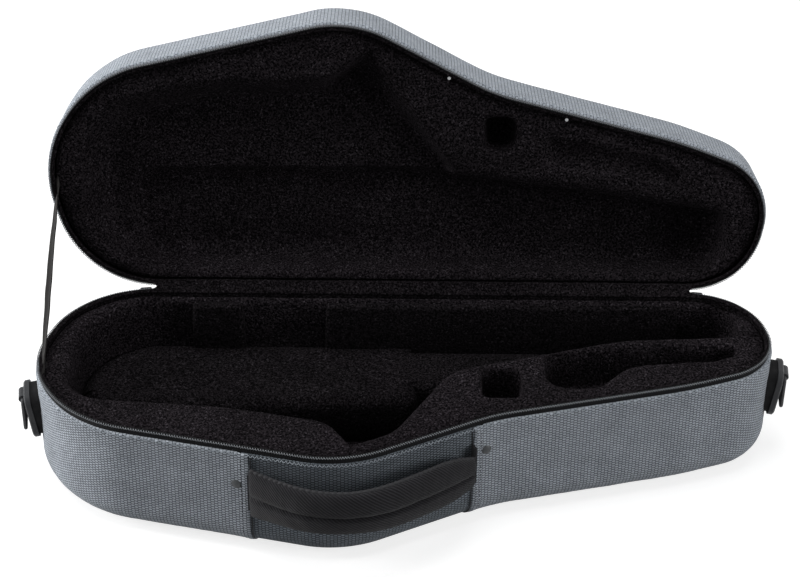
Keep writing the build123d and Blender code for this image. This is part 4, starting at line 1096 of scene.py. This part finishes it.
crumple = crumple_height * np.sin(hinge_x / 0.0026 + np.sin(hinge_x / 0.021)) * np.sin(pi * fold_turn)
faces = [bend[:, None] + square[:, None] * (off + crumple)[..., None] for off in fold_faces]
faces = [np.concatenate([hinge_x[..., None], face], -1) for face in faces]
gusset = slab("hinge_gusset", *faces, places(hinge_x, fold_turn * 0.01))
settle(gusset, edge_plush, "hinge_webbing", None)
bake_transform(gusset)

leaf_stitch_x = np.arange(leaf_low[0] + 0.004, leaf_high[0] - 0.006, stitch_pitch)
mirror, lift = np.array([1, 1, -1]), np.array([0, 0, 2 * base_height])
for name, height in (("low", leaf_low[2] + 0.003), ("high", leaf_high[2] - 0.004)):
    starts = at_height(places(leaf_stitch_x, leaf_high[1] + 0.0001), height)
    ends = starts + np.array([stitch_length, 0, 0])
    stitch_row("base_leaf_stitches_" + name, starts, ends, pale_thread, "hinge_webbing", "base")
    stitch_row("lid_leaf_stitches_" + name, open_lid(starts * mirror + lift), open_lid(ends * mirror + lift),
               pale_thread, "hinge_webbing", "lid")

# Fittings for a shoulder strap at both ends: moulded plates on rubber wedges, each with a
# coated wire ring in its boss.
plate_plastic = moulded_material("plate_plastic", (0.026, 0.027, 0.030), (0.012, 0.013, 0.015), 0.50, 0.0011,
                                 0.35)
wedge_rubber = moulded_material("wedge_rubber", (0.006, 0.006, 0.007), (0.003, 0.003, 0.0035), 0.88, 0.0016,
                                0.3)
ring_metal = metal_material("ring_coating", (0.024, 0.025, 0.028), (0.010, 0.010, 0.012), 0.50, 0.4)
slider_metal = metal_material("slider_plating", (0.11, 0.11, 0.12), (0.045, 0.045, 0.05), 0.38)
for side in ("left", "right"):
    finish_nodes(plate_plastic, "strap_plate_" + side)
    finish_nodes(wedge_rubber, "strap_pad_" + side)
    finish_nodes(ring_metal, "strap_ring_" + side)
    finish_nodes(slider_metal, "zip_slider_" + side, "zip_pull_" + side)


# Studio: a pale seamless floor that shows white to the camera and keeps a soft shadow, a
# broad lamp overhead and one low at each side, the left one the stronger.
def seen_directly(tree):
    """1 for the camera's rays, also by way of a mirror or a clear piece, and 0 for all others."""
    seen = add(tree, "ShaderNodeLightPath").outputs
    mirrored = maths(tree, "MAXIMUM", seen["Is Camera Ray"], seen["Is Glossy Ray"])
    return maths(tree, "MAXIMUM", mirrored, seen["Is Transmission Ray"])


floor_half, floor_low = 2.6, -0.0003
paper_bounce, paper_seen, paper_glow = 0.36, 0.46, 0.76
sky_fill = 0.165
floor = put("studio_floor", [[x * floor_half, y * floor_half, floor_low]
                             for x, y in ((-1, -1), (1, -1), (1, 1), (-1, 1))], [[0, 1, 2, 3]])
paper, tree, _ = blank_material("studio_paper", None, Roughness=0.95, Specular_IOR_Level=0.0)
direct = seen_directly(tree)
join(tree, tone(tree, direct, (paper_bounce,) * 3, (paper_seen,) * 3))
glow = add(tree, "ShaderNodeEmission", {"Color": (1, 1, 1, 1), "Strength": paper_glow})
unlit = add(tree, "ShaderNodeEmission", {"Color": (0, 0, 0, 1), "Strength": 0.0})
lift = add(tree, "ShaderNodeMixShader", {0: direct, 1: unlit.outputs[0], 2: glow.outputs[0]})
total = add(tree, "ShaderNodeAddShader", {0: tree.nodes["Principled BSDF"].outputs[0], 1: lift.outputs[0]})
tree.links.new(total.outputs[0], tree.nodes["Material Output"].inputs["Surface"])
floor.data.materials.append(paper)

world = bpy.data.worlds.new("studio")
bpy.context.scene.world = world
world.use_nodes = True
tree = world.node_tree
tree.nodes.clear()
white = add(tree, "ShaderNodeBackground", {"Color": (1, 1, 1, 1), "Strength": 1.0})
fill = add(tree, "ShaderNodeBackground", {"Color": (0.97, 0.98, 1.0, 1), "Strength": sky_fill})
sky = add(tree, "ShaderNodeMixShader", {0: seen_directly(tree), 1: fill.outputs[0], 2: white.outputs[0]})
tree.links.new(sky.outputs[0], add(tree, "ShaderNodeOutputWorld").inputs["Surface"])


def lamp(name, place, aim, size, power):
    """Square area lamp that faces a point."""
    data = bpy.data.lights.new(name, "AREA")
    data.size = size
    data.energy = power
    made = bpy.data.objects.new(name, data)
    made.location = place
    made.rotation_euler = (Vector(aim) - Vector(place)).to_track_quat("-Z", "Y").to_euler()
    bpy.context.collection.objects.link(made)
    return made


overhead = lamp("overhead_lamp", (-0.4, 0.2, 2.8), (0.0, 0.0, 0.1), 2.0, 60.0)
left = lamp("left_lamp", (-3.0, 0.22, 0.9), (0.0, 0.0, 0.12), 1.3, 92.0)
right = lamp("right_lamp", (2.8, -0.9, 0.9), (0.0, 0.0, 0.12), 1.3, 34.0)
